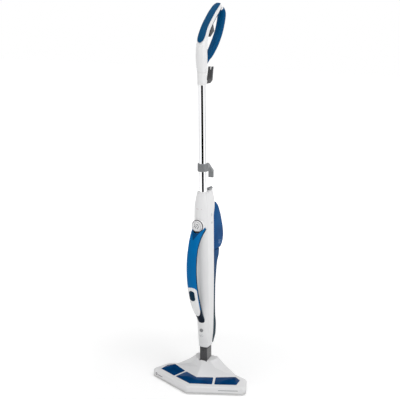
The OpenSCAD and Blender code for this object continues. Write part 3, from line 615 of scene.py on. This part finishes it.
# angles(i, n) gives the start and end of the section at a station
def shellAlong(stations, angles, outset, wall, steps=26):
    rings = []
    for i, station in enumerate(stations):
        start, end = angles(i, len(stations)) if callable(angles) else angles
        sweep = [start + (end - start) * k / steps for k in range(steps + 1)]
        rings.append([ovalPoint(station, a, -outset) for a in sweep]
                     + [ovalPoint(station, a, wall - outset) for a in reversed(sweep)])
    return loftRings(rings)


loopHandle = {
    "shellBottom": 1003.0,
    "halfWidth": 15.0,
    "frontLimb": [(-8, 0, 0.5, 15.5, 1), (-8.5, 22, 1.8, 16.8, 1), (-9.5, 44, 2.6, 17.4, 1),
                  (-9, 64, 2.2, 16.8, 1), (-6, 84, 0.8, 15, 0.8), (1.5, 102, -0.5, 13.4, 0.8),
                  (13, 120, -1.5, 12.6, 0.8),
                  (28, 136, -1.5, 12.3, 0.8), (45, 150.5, -1.5, 12.2, 0.8), (63, 165, -1.5, 12, 0.8),
                  (82, 178.5, -2, 11, 0.8), (96, 188, -3, 9.4, 0.8), (105, 194, -6, 6.5, 0.8)],
    "armHalfWidth": 13.0,
    "rearLimb": [(2, 20, -3, 6.5, 1), (24, 36, -3, 6.5, 1), (38, 46, -0.5, 8.6, 1), (57, 61, 0, 9.6, 1),
                 (76, 79, 0, 10, 0.8), (93, 98, 0, 10, 0.8), (107, 118, 0, 10, 0.8), (117, 138, 0, 10, 0.8),
                 (123.5, 156, 0, 10, 0.8), (125.5, 170, -0.5, 9.6, 0.8), (121, 181, -2.5, 8, 0.8),
                 (112, 187, -5, 6, 0.8)],
    "parts": 5,
    "stripFrom": 4,
    "innerFrom": 122.0,
    "wall": 2.4,
    "rearWall": 3.0,
    "topWall": 5.0,
    "trigger": [(22, 1102), (46, 1106), (74, 1136), (56, 1152), (42, 1146), (18, 1116)],
    "triggerHalf": 8.35,
}


def limbRows(table, half):
    return [(y, loopHandle["shellBottom"] + z, half + w, thick, power) for y, z, w, thick, power in table]


def makeLoopHandle():
    front = stationsFrom(limbRows(loopHandle["frontLimb"], loopHandle["halfWidth"]), loopHandle["parts"])
    rear = stationsFrom(limbRows(loopHandle["rearLimb"], loopHandle["armHalfWidth"]), loopHandle["parts"])
    strip = front[loopHandle["stripFrom"] * loopHandle["parts"]:]
    inner = [s for s in front if s[1] > loopHandle["shellBottom"] + loopHandle["innerFrom"]][:-4]
    blueRear, whiteRear = rear[:-3], rear[-4:]
    leftHalf, rightHalf = (90.3, 269.7), (-89.7, 89.7)
    wall, rearWall, topWall = loopHandle["wall"], loopHandle["rearWall"], loopHandle["topWall"]
    white, blue = finish["white_plastic"], other["rearGrip"]
    parts = [
        ("handleLeft", front, leftHalf, 0, wall, "white_plastic", white, "handle_shell_left"),
        ("handleRight", front, rightHalf, 0, wall, "white_plastic", white, "handle_shell_right"),
        ("gripStrip", strip, stripAngles, 1.8, 1.9, "blue_plastic", other["grip"], "front_grip"),
        ("rearLimbLeft", blueRear, leftHalf, 0, rearWall, "blue_plastic", blue, "rear_grip_left"),
        ("rearLimbRight", blueRear, rightHalf, 0, rearWall, "blue_plastic", blue, "rear_grip_right"),
        ("rearTopLeft", whiteRear, leftHalf, 0, topWall, "white_plastic", white, None),
        ("rearTopRight", whiteRear, rightHalf, 0, topWall, "white_plastic", white, None),
        # The dark strip along the inner side of the front limb, from the trigger up, is painted shade
        ("innerStrip", inner, (196, 344), 0.5, 1.0, "dark_plastic", other["shadow"], None),
    ]
    for name, line, angles, outset, wall, slot, material, node in parts:
        mesh = meshFrom(name, *shellAlong(line, angles, outset, wall))
        if name in ("handleLeft", "handleRight", "innerStrip"):
            mesh = withoutCutter(mesh, triggerSlot())
        finishPiece(name, mesh, "upper_handle", material, (node,) if node else ())


# The opening for the trigger, a prism across the limb
def triggerSlot():
    half = loopHandle["triggerHalf"]
    rings = [[(x, y, z) for y, z in loopHandle["trigger"]] for x in (-half, half)]
    return meshFrom("slot", *loftRings(rings))


# The blue strip keeps its width and rounds off at its lower end
def stripAngles(i, n):
    rounding = 7
    share = 1.0 if i >= rounding else math.sqrt(max(1 - ((rounding - i) / rounding) ** 2, 0.02))
    return 90 - 48 * share, 90 + 48 * share


makeLoopHandle()
softened("trigger", "triggerLever", 1.6, limit=30)
softened("handle_sleeve", "handleSleeve", 0.8)
softened("chrome_tube", "chromeTube", 0.0)
softened("cord_hook", "upperHook", 1.4, limit=30)
softened("collar_hook", "lowerHook", 1.2, limit=30)
softened("hook_pin", "hookPin", 0.4)
print("handle is done")

# Carrying handle: blue front, navy back, and a white tongue at the lower end with the thumb button in it

knob = {
    "z": 531.0,
    "disc": [(0, -54.0), (6, -54.1), (13.2, -54.6), (15.6, -54.5), (16.8, -53.9), (17.4, -52.8),
             (17.5, -51.5), (17.5, -46.6), (17.0, -45.7), (3.95, -45.6), (3.95, -24), (0, -24)],
    "face": -54.6,
    "ring": [(17.9, -48.1), (19.3, -48.1), (19.8, -47.6), (19.8, -46.4), (17.9, -46.4)],
    "hollow": {"radius": 20.4, "from": -95, "to": -20},
}
carryHandle = {
    "low": (-36.0, 229.0),
    "pullLow": (-106.83, 339.0),
    "pullHigh": (-102.83, 473.0),
    "high": (-40.0, 515.0),
    "halfWidth": 17.0,
    "halfThick": 11.0,
    "width": [(0, -5), (0.1, -2), (0.2, 0), (0.7, 0), (0.85, 2), (1, 5.5)],
    "thick": [(0, -3), (0.12, 0), (0.7, 0), (1, 1)],
    "wall": 2.4,
    "steps": 72,
    "from": -0.07,
    "to": 1.03,
    "tongueStart": 0.035,
    "tongueEnd": 0.345,
    "blueFrom": 0.1,
    "frontEdge": 13.0,
    "facetFrom": 0.835,
    "facetTo": 0.955,
}


def carryPoint(t):
    a, b, c, d = (carryHandle[k] for k in ("low", "pullLow", "pullHigh", "high"))
    s = 1 - t
    return [p * s ** 3 + 3 * q * t * s * s + 3 * r * t * t * s + w * t ** 3 for p, q, r, w in zip(a, b, c, d)]


def carryStation(t):
    inside = min(max(t, 0), 1)
    point = carryPoint(inside)
    ahead, behind = carryPoint(inside + 0.01), carryPoint(inside - 0.01)
    length = math.hypot(ahead[0] - behind[0], ahead[1] - behind[1])
    ty, tz = (ahead[0] - behind[0]) / length, (ahead[1] - behind[1]) / length
    along = (t - inside) * 330  # beyond an end the line runs straight on
    half = carryHandle["halfWidth"] + eased(carryHandle["width"], inside)
    thick = carryHandle["halfThick"] + eased(carryHandle["thick"], inside)
    return [point[0] + ty * along, point[1] + tz * along, half, thick, ty, tz, 1]


# Angle at which the white tongue starts on each side; it closes to a round point at both ends
def tongueEdge(t):
    low, high = carryHandle["tongueStart"], carryHandle["tongueEnd"]
    edge = 34 - 12 * (t - low) / (high - low)
    for end, reach in ((low, 0.075), (high, 0.05)):
        share = abs(t - end) / reach
        if share < 1:
            edge += (90 - edge) * (1 - math.sqrt(1 - (1 - share) ** 2))
    return min(edge, 89.5)


def carryLine(low, high, count):
    shares = [low + (high - low) * i / count for i in range(count + 1)]
    return shares, [carryStation(t) for t in shares]


# A cylinder along Y that cuts the hollow in which the knob sits
def knobHollow(count=64):
    radius, z = knob["hollow"]["radius"], knob["z"]
    rings = [[(radius * math.cos(2 * math.pi * k / count), y, z + radius * math.sin(2 * math.pi * k / count))
              for k in range(count)] for y in (knob["hollow"]["from"], knob["hollow"]["to"])]
    return meshFrom("cutter", *loftRings(rings))


def makeCarryHandle():
    edge, wall = carryHandle["frontEdge"], carryHandle["wall"]
    low, high, blueFrom = carryHandle["from"], carryHandle["to"], carryHandle["blueFrom"]
    whole = carryLine(low, high, carryHandle["steps"])[1]
    upper = carryLine(blueFrom, high, carryHandle["steps"])[1]
    lower = carryLine(low, blueFrom, 12)[1]
    back = meshFrom("carryBack", *shellAlong(whole, (180 - edge, 360 + edge), 0, wall, 34))
    finishPiece("carryBack", withoutCutter(back, knobHollow()), "steam_unit",
                finish["navy_plastic"], ("carry_grip_rear",))
    front = meshFrom("carryFront", *shellAlong(upper, (edge + 0.5, 179.5 - edge), 0, wall))
    finishPiece("carryFront", withoutCutter(front, knobHollow()), "steam_unit",
                finish["blue_plastic"], ("carry_grip_front",))
    # The lower end of the front is a dark-blue trim; its near-black colour is also painted shade around the
    # bottom of the white tongue
    trim = meshFrom("carryTrim", *shellAlong(lower, (edge + 0.5, 179.5 - edge), 0, wall))
    finishPiece("carryTrim", trim, "steam_unit", other["trim"])
    shares, tongue = carryLine(carryHandle["tongueStart"], carryHandle["tongueEnd"], 56)
    cap = meshFrom("carryTongue", *shellAlong(
        tongue, lambda i, n: (tongueEdge(shares[i]), 180 - tongueEdge(shares[i])), 0.9, 1.6))
    finishPiece("carryTongue", cap, "steam_unit", finish["white_plastic"], ("handle_cap",))
    # A thin darker sheet on the front near the top is painted shade for a V-shaped facet
    wedge = carryLine(carryHandle["facetFrom"], carryHandle["facetTo"], 24)[1]
    facetShade = meshFrom("carryFacet", *shellAlong(
        wedge, lambda i, n: (90 - 3 - 40 * i / (n - 1), 90 + 3 + 40 * i / (n - 1)), 0.3, 0.8))
    finishPiece("carryFacet", withoutCutter(facetShade, knobHollow()), "steam_unit",
                other["facetShade"])


makeCarryHandle()
softened("steam_button", "thumbButton", 1.2, limit=30)
print("carrying handle is done")

# Water tank and the blue cover below it

tank = {
    "low": 0.613,
    "high": 0.92,
    "depth": 76.0,
    "half": 21.5,
    "gap": 0.3,
    "bulge": [(0.613, 0.72), (0.625, 0.8), (0.65, 0.91), (0.69, 0.97), (0.74, 0.92), (0.79, 0.82),
              (0.84, 0.7), (0.88, 0.52), (0.905, 0.36), (0.92, 0.22)],
    "taper": [(0.84, 1), (0.92, 0.86)],
    "corner": 9.0,
    "innerCorner": 2.0,
    "stations": 40,
    "base": {"across": 0.96, "deep": 0.97, "middle": 60, "lift": 1.5},
}


# Points of a round corner in plan, from the first angle to the last in degrees
def roundCorner(x, y, radius, first, last, step):
    angles = [math.radians(a) for a in range(first, last + 1, step)]
    return [(x + radius * math.cos(a), y + radius * math.sin(a)) for a in angles]


def tankRing(t):
    half = tank["half"] * eased(tank["taper"], t)
    front = eased(casing["back"], t) + tank["gap"]
    back = eased(casing["back"], t) + tank["depth"] * eased(tank["bulge"], t)
    outer, inner = min(tank["corner"], (back - front) / 2.2), tank["innerCorner"]
    right = roundCorner(half - inner, front + inner, inner, -90, 0, 18)
    right += roundCorner(half - outer, back - outer, outer, 0, 90, 9)
    return [(x, y, caseHeight(t)) for x, y in right + [(-x, y) for x, y in reversed(right)]]


def makeTank():
    span, count, base = tank["high"] - tank["low"], tank["stations"], tank["base"]
    rings = [tankRing(tank["low"] + span * i / count) for i in range(count + 1)]
    middle = base["middle"]
    floorEdge = [(x * base["across"], middle + (y - middle) * base["deep"], z) for x, y, z in rings[0]]
    aboveEdge = [(x, y, z + base["lift"]) for x, y, z in rings[0]]
    rings = [floorEdge, aboveEdge] + rings[2:]
    finishPiece("waterTank", meshFrom("waterTank", *loftRings(rings)), "tank",
                finish["tank_plastic"], ("water_tank",))


cover = {
    "depth": [(-0.02, 30), (0, 36), (0.03, 43), (0.1, 42), (0.18, 34), (0.27, 32), (0.36, 33), (0.44, 37),
              (0.53, 46), (0.57, 57), (0.61, 60)],
    "low": -0.02,
    "high": 0.61,
    "inset": 1.0,
    "gap": 0.15,
    "corner": 6.0,
    "stations": 70,
}


def makeCover():
    rings = []
    for i in range(cover["stations"] + 1):
        t = cover["low"] + (cover["high"] - cover["low"]) * i / cover["stations"]
        half = eased(casing["halfWidth"], max(t, 0)) - cover["inset"]
        depth, start = eased(cover["depth"], t), eased(casing["back"], max(t, 0)) + cover["gap"]
        radius = min(cover["corner"], (depth - start) * 0.7)
        right = [(half, start)] + roundCorner(half - radius, depth - radius, radius, 0, 90, 10)
        rings.append([(x, y, caseHeight(t)) for x, y in right + [(-x, y) for x, y in reversed(right)]])
    finishPiece("backCover", meshFrom("backCover", *loftRings(rings)), "steam_unit",
                other["cover"], ("rear_cover",))


makeTank()
makeCover()
softened("filler_cap", "fillerCap", 0.4)
softened("tank_lid", "tankCollar", 0.3)
print("tank is done")

# Repeated small parts: one tree lays copies of a unit along a path that lies in the XY plane


def pathTree():
    tree = bpy.data.node_groups.new("copiesAlongPath", "GeometryNodeTree")
    keys = {}
    for label, kind in (("Path", "NodeSocketGeometry"), ("Unit", "NodeSocketObject"),
                        ("Count", "NodeSocketInt"), ("Finish", "NodeSocketMaterial")):
        keys[label] = tree.interface.new_socket(label, in_out="INPUT", socket_type=kind).identifier
    tree.interface.new_socket("Copies", in_out="OUTPUT", socket_type="NodeSocketGeometry")
    start, end = tree.nodes.new("NodeGroupInput"), tree.nodes.new("NodeGroupOutput")
    curve = tree.nodes.new("GeometryNodeMeshToCurve")
    even = tree.nodes.new("GeometryNodeResampleCurve")
    unit = tree.nodes.new("GeometryNodeObjectInfo")
    tangent = tree.nodes.new("GeometryNodeInputTangent")
    turn = tree.nodes.new("FunctionNodeAlignRotationToVector")
    turn.axis, turn.pivot_axis = "X", "Z"
    put = tree.nodes.new("GeometryNodeInstanceOnPoints")
    real = tree.nodes.new("GeometryNodeRealizeInstances")
    paint = tree.nodes.new("GeometryNodeSetMaterial")
    for source, target in (
            (start.outputs["Path"], curve.inputs["Mesh"]),
            (curve.outputs["Curve"], even.inputs["Curve"]),
            (start.outputs["Count"], even.inputs["Count"]),
            (start.outputs["Unit"], unit.inputs["Object"]),
            (tangent.outputs["Tangent"], turn.inputs["Vector"]),
            (even.outputs["Curve"], put.inputs["Points"]),
            (unit.outputs["Geometry"], put.inputs["Instance"]),
            (turn.outputs["Rotation"], put.inputs["Rotation"]),
            (put.outputs["Instances"], real.inputs["Geometry"]),
            (real.outputs["Geometry"], paint.inputs["Geometry"]),
            (start.outputs["Finish"], paint.inputs["Material"]),
            (paint.outputs["Geometry"], end.inputs["Copies"])):
        tree.links.new(source, target)
    return tree, keys


copyTree, copyKeys = pathTree()


def barMesh(size, bevel):
    shape = bmesh.new()
    bmesh.ops.create_cube(shape, size=1.0)
    bmesh.ops.scale(shape, vec=Vector(size) * mm, verts=shape.verts)
    bmesh.ops.bevel(shape, geom=shape.edges[:], offset=bevel * mm, segments=2, affect="EDGES")
    mesh = bpy.data.meshes.new("bar")
    shape.to_mesh(mesh)
    shape.free()
    return mesh


# spec holds the path in millimetres, whether it closes, and the count, size and edge rounding of the copies;
# frameOf moves the finished row to its place
def copies(name, spec, material, body, frameOf):
    path = spec["path"]
    line = bpy.data.meshes.new(name + "Path")
    edges = [(i, i + 1) for i in range(len(path) - 1)] + ([(len(path) - 1, 0)] if spec["closed"] else [])
    line.from_pydata([Vector(p) * mm for p in path], edges, [])
    holder = bpy.data.objects.new(name + "Path", line)
    unit = bpy.data.objects.new(name + "Unit", barMesh(spec["size"], spec["round"]))
    for item in (holder, unit):
        bpy.context.collection.objects.link(item)
    modifier = holder.modifiers.new("copies", "NODES")
    modifier.node_group = copyTree
    modifier[copyKeys["Unit"]] = unit
    modifier[copyKeys["Count"]] = spec["count"]
    modifier[copyKeys["Finish"]] = material
    mesh = bpy.data.meshes.new_from_object(holder.evaluated_get(bpy.context.evaluated_depsgraph_get()))
    mesh.name = name
    for item in (holder, unit):
        bpy.data.objects.remove(item)
    mesh.transform(frameOf)
    finishPiece(name, mesh, body, material, sharp=40)


def circlePath(radius, count=96):
    return [(radius * math.cos(2 * math.pi * k / count), radius * math.sin(2 * math.pi * k / count), 0)
            for k in range(count)]


# Closed skin turned about the Y axis through height z; rows are radius and y
def turned(name, rows, z, count=72):
    solid = [(max(r, 0.001), y) for r, y in rows]
    rings = [[(r * math.cos(2 * math.pi * k / count), y, z + r * math.sin(2 * math.pi * k / count))
              for k in range(count)] for r, y in solid]
    return meshFrom(name, *loftRings(rings))


# Hoop turned about the Y axis through height z: the rows are its closed section
def hoop(name, rows, z, count=72):
    verts = [(r * math.cos(2 * math.pi * k / count), y, z + r * math.sin(2 * math.pi * k / count))
             for k in range(count) for r, y in rows]
    n = len(rows)
    faces = [(i * n + j, i * n + (j + 1) % n, (i + 1) % count * n + (j + 1) % n, (i + 1) % count * n + j)
             for i in range(count) for j in range(n)]
    return meshFrom(name, verts, faces)


# Raised print: flat ribbons along strokes given on a (u, v) plane, laid on a surface by place(u, v, height)
def ribbons(name, strokes, width, place, material, body, thick=0.14):
    verts, faces = [], []
    for stroke in strokes:
        closed = stroke[0] == stroke[-1]
        points = stroke[:-1] if closed else stroke
        count = len(points)
        first = len(verts)
        for i, (u, v) in enumerate(points):
            a = points[i - 1] if closed or i else points[i]
            b = points[(i + 1) % count] if closed or i < count - 1 else points[i]
            length = math.hypot(b[0] - a[0], b[1] - a[1])
            nu, nv = -(b[1] - a[1]) / length * width / 2, (b[0] - a[0]) / length * width / 2
            for side, high in ((1, -0.3), (1, thick), (-1, thick), (-1, -0.3)):
                verts.append(place(u + side * nu, v + side * nv, high))
        for i in range(count if closed else count - 1):
            p, q = first + 4 * i, first + 4 * ((i + 1) % count)
            faces += [(p + k, p + (k + 1) % 4, q + (k + 1) % 4, q + k) for k in range(4)]
        if not closed:
            last = first + 4 * (count - 1)
            faces += [(first, first + 1, first + 2, first + 3), (last + 3, last + 2, last + 1, last)]
    finishPiece(name, meshFrom(name, verts, faces), body, material)


def ringStroke(u, v, radius, steps=20):
    points = [(u + radius * math.cos(2 * math.pi * k / steps), v + radius * math.sin(2 * math.pi * k / steps))
              for k in range(steps)]
    return points + [points[0]]


def waveStroke(u, v, length, swing, steps=16):
    return [(u + swing * math.sin(2 * math.pi * k / steps), v + length * (k / steps - 0.5))
            for k in range(steps + 1)]


knobRidges = {"path": circlePath(17.5), "closed": True, "count": 44, "size": (0.9, 0.6, 4.0), "round": 0.2,
              "place": (0, -50.3, knob["z"])}


def makeKnob():
    finishPiece("steamKnob", turned("steamKnob", knob["disc"], knob["z"]), "steam_knob",
                finish["white_plastic"], ("regulation_knob",), 40)
    aboutY = Matrix.Rotation(math.radians(90), 4, "X")
    copies("knobRidges", knobRidges, finish["white_plastic"], "steam_knob",
           Matrix.Translation(Vector(knobRidges["place"]) * mm) @ aboutY)

    def onDisc(u, v, high):
        return (u, knob["face"] + 0.25 * max(0, 1 - math.hypot(u, v) / 13) - high, knob["z"] + v)

    slant = [[(-9, -3.5), (-3.5, 4.5)], [(-4.5, -5.5), (1.5, 3)], [(-1, 7), (4.5, 7.5), (6, 3)],
             [(3, -6.5), (8.5, 1.5)], [(-7, 6.5), (-4.5, 9)]]
    ribbons("knobMarks", slant, 1.5, onDisc, other["ink"], "steam_knob")
    # The dark ring on the knob's rounded edge and the dark hoop in the gap around the knob are painted rim
    # shadow
    ribbons("knobOutline", [ringStroke(0, 0, 15.4, 64)], 0.7, onDisc, other["outline"], "steam_knob",
            0.1)
    finishPiece("bezelOutline", hoop("bezelOutline", knob["ring"], knob["z"]), "steam_unit",
                other["outline"])


# Generic pictograms and plain bars stand where a maker would print
marks = {
    "line": 0.8,
    "side": [ringStroke(4, 558, 3.6), [(4, 555.2), (4, 560.8)],
             waveStroke(1.2, 533, 7, 0.8), waveStroke(4.4, 533, 7, 0.8), waveStroke(7.6, 533, 7, 0.8)],
    "front": [ringStroke(1.5, 160, 3.2), waveStroke(-4.5, 158, 6.5, 0.7), waveStroke(-7.2, 158, 6.5, 0.7)],
    "bar": [[(-9, 583), (-3, 583)], [(-1.5, 583), (9, 583)]],
    "rimRight": [[(100, 16.5), (162, 16.5)]],
    "rimLeft": [[(128, 14.5), (152, 14.5)], ringStroke(160, 15, 3.4)],
    "rimNose": -132,
    "rimRun": (0.9187, 0.3953),  # the way that the right front edge of the head runs
}


def makeMarks():
    def onSide(u, v, high):
        return (eased(casing["halfWidth"], caseShare(v)) + high, u, v)

    def onFront(u, v, high):
        return (u, panelDepth(v, u) - high, v)

    def onRim(side):
        runX, runY = marks["rimRun"]
        nose = marks["rimNose"]
        return lambda u, v, high: (side * (runX * u + runY * high), nose + runY * u - runX * high, v)

    printed, outline = other["printed"], other["outline"]
    ribbons("sideIcons", marks["side"], marks["line"], onSide, printed, "steam_unit")
    ribbons("frontIcons", marks["front"], marks["line"], onFront, printed, "steam_unit")
    ribbons("accentBar", marks["bar"], 3.0, onFront, other["accent"], "steam_unit", 0.1)
    ribbons("rimBarRight", marks["rimRight"], 2.2, onRim(1), printed, "mop_head")
    ribbons("rimBarLeft", marks["rimLeft"], 2.0, onRim(-1), outline, "mop_head")


# Rows of ribs in millimetres: place is where the path's zero point stands, for the right or the rear row
ribRows = {
    "neckRibs": {"path": [(-10.5, 0, 0), (10.5, 0, 0)], "closed": False, "count": 7, "size": (1.5, 0.8, 44),
                 "round": 0.3, "place": (0, 17.5, 90.5)},
    "neckLines": {"path": [(-13.5, 0, 0), (13.5, 0, 0)], "closed": False, "count": 8, "size": (2.6, 0.6, 44),
                  "round": 0.2, "place": (13, 0, 90.5)},
    "tankGrip": {"path": [(0, 0, 0), (16, 0, 0)], "closed": False, "count": 4, "size": (1.5, 1.0, 15),
                 "round": 0.45, "place": (21.4, 55, 458), "lean": 14},
    "collarRibs": {"path": circlePath(16.2), "closed": True, "count": 40, "size": (0.8, 0.5, 21),
                   "round": 0.2, "place": (0, -8, 710)},
}


def makeRibs():
    front, sides = ribRows["neckRibs"], ribRows["neckLines"]
    grip, collar = ribRows["tankGrip"], ribRows["collarRibs"]
    quarter = Matrix.Rotation(math.radians(90), 4, "Z")
    lean = Matrix.Rotation(math.radians(grip["lean"]), 4, "Y")
    for side, across, along in ((-1, "Left", "Front"), (1, "Right", "Rear")):
        mirrored = Vector((side, side, 1)) * mm
        copies("neckRibs" + along, front, other["ribs"], "fork_link",
               Matrix.Translation(mirrored * Vector(front["place"])))
        copies("neckLines" + across, sides, other["sideLines"], "fork_link",
               Matrix.Translation(mirrored * Vector(sides["place"])) @ quarter)
        flipped = Vector((side, 1, 1)) * mm
        copies("tankGrip" + across, grip, other["pale"], "tank",
               Matrix.Translation(flipped * Vector(grip["place"])) @ quarter @ lean)
    copies("collarRibs", collar, finish["grey_plastic"], "lower_cord_hook",
           Matrix.Translation(Vector(collar["place"]) * mm))


makeKnob()
softened("knob_bezel", "knobBezel", 0.4)
makeMarks()
softened("roll_pin", "rollPin", 0.2, material=finish["dark_plastic"])
makeRibs()
print("knob, ribs and marks are done")

# Head: crisp facets with softened edges, tinted windows and the cloth pad

softened("head_cover", "headCover", 1.1, limit=14, sharp=24)
softened("window_left", "windowLeft", 0.5, limit=20)
softened("window_centre", "windowCentre", 0.5, limit=20)
softened("window_right", "windowRight", 0.5, limit=20)
softened("neck_fork", "neckFork", 0.7)
softened("neck_connector", "steamPlug", 0.5)
print("head is done")

pad = {
    "outline": [(0, -132), (172, -58), (145, 8), (57, 25)],
    "corner": 16.0,
    "levels": [(0.0, 3.6), (0.35, 1.7), (1.1, 0.55), (2.2, 0.1), (3.4, 0.0), (4.6, 0.35), (5.5, 1.3),
               (5.9, 3.0)],
    "rough": 0.45,
    "spacing": 2.6,
    "stitches": {"count": 330, "size": (2.0, 0.7, 0.5), "round": 0.2, "height": 4.6},
    "binding": {"count": 900, "size": (1.25, 0.8, 1.0), "round": 0.35, "height": 5.2},
}


def roundedOutline(points, radius, steps):
    out = []
    for i, b in enumerate(points):
        a, c = points[i - 1], points[(i + 1) % len(points)]
        d1 = Vector((b[0] - a[0], b[1] - a[1])).normalized()
        d2 = Vector((c[0] - b[0], c[1] - b[1])).normalized()
        turn = math.atan2(d1.x * d2.y - d1.y * d2.x, d1.dot(d2))
        sign = -1 if turn < 0 else 1
        centre = Vector(b) + (d2 - d1).normalized() * radius / math.cos(turn / 2)
        start = math.atan2(-d1.x * sign, d1.y * sign)
        for k in range(steps + 1):
            angle = start + turn * k / steps
            out.append((centre.x + radius * math.cos(angle), centre.y + radius * math.sin(angle)))
    return out


# Even points along a closed line
def evenly(line, spacing):
    out = []
    for i, a in enumerate(line):
        b = line[(i + 1) % len(line)]
        pieces = max(1, round(math.hypot(b[0] - a[0], b[1] - a[1]) / spacing))
        out += [(a[0] + (b[0] - a[0]) * k / pieces, a[1] + (b[1] - a[1]) * k / pieces) for k in range(pieces)]
    return out


def makePad():
    half = pad["outline"]
    closed = half + [(-x, y) for x, y in reversed(half) if x > 0]
    line = evenly(roundedOutline(closed, pad["corner"], 8), pad["spacing"])
    count = len(line)
    normals = []
    for i in range(count):
        a, b = line[i - 1], line[(i + 1) % count]
        normals.append(Vector((b[1] - a[1], a[0] - b[0])).normalized())
    rings = []
    for z, inset in pad["levels"]:
        ring = []
        for (x, y), n in zip(line, normals):
            wobble = noise.noise(Vector((x, y, z * 3)) * 0.22) * pad["rough"] if 0.1 < z < 5.8 else 0
            push = -inset + wobble - 0.2
            ring.append((x + n.x * push, y + n.y * push, z + wobble * 0.3 if 0.3 < z else z))
        rings.append(ring)
    mesh = meshFrom("clothPad", *loftRings(rings))
    piece = finishPiece("clothPad", mesh, "mop_head", finish["cloth"], ("cloth_pad",), 60)
    inner = [(x - n.x * 0.3, y - n.y * 0.3, 0) for (x, y), n in zip(line, normals)]
    for name, row, material in (("padStitches", pad["stitches"], other["thread"]),
                                ("padBinding", pad["binding"], finish["cloth"])):
        copies(name, {"path": inner, "closed": True, **row}, material, "mop_head",
               Matrix.Translation((0, 0, row["height"] * mm)))


makePad()
print("pad is done")

bpy.context.view_layer.update()
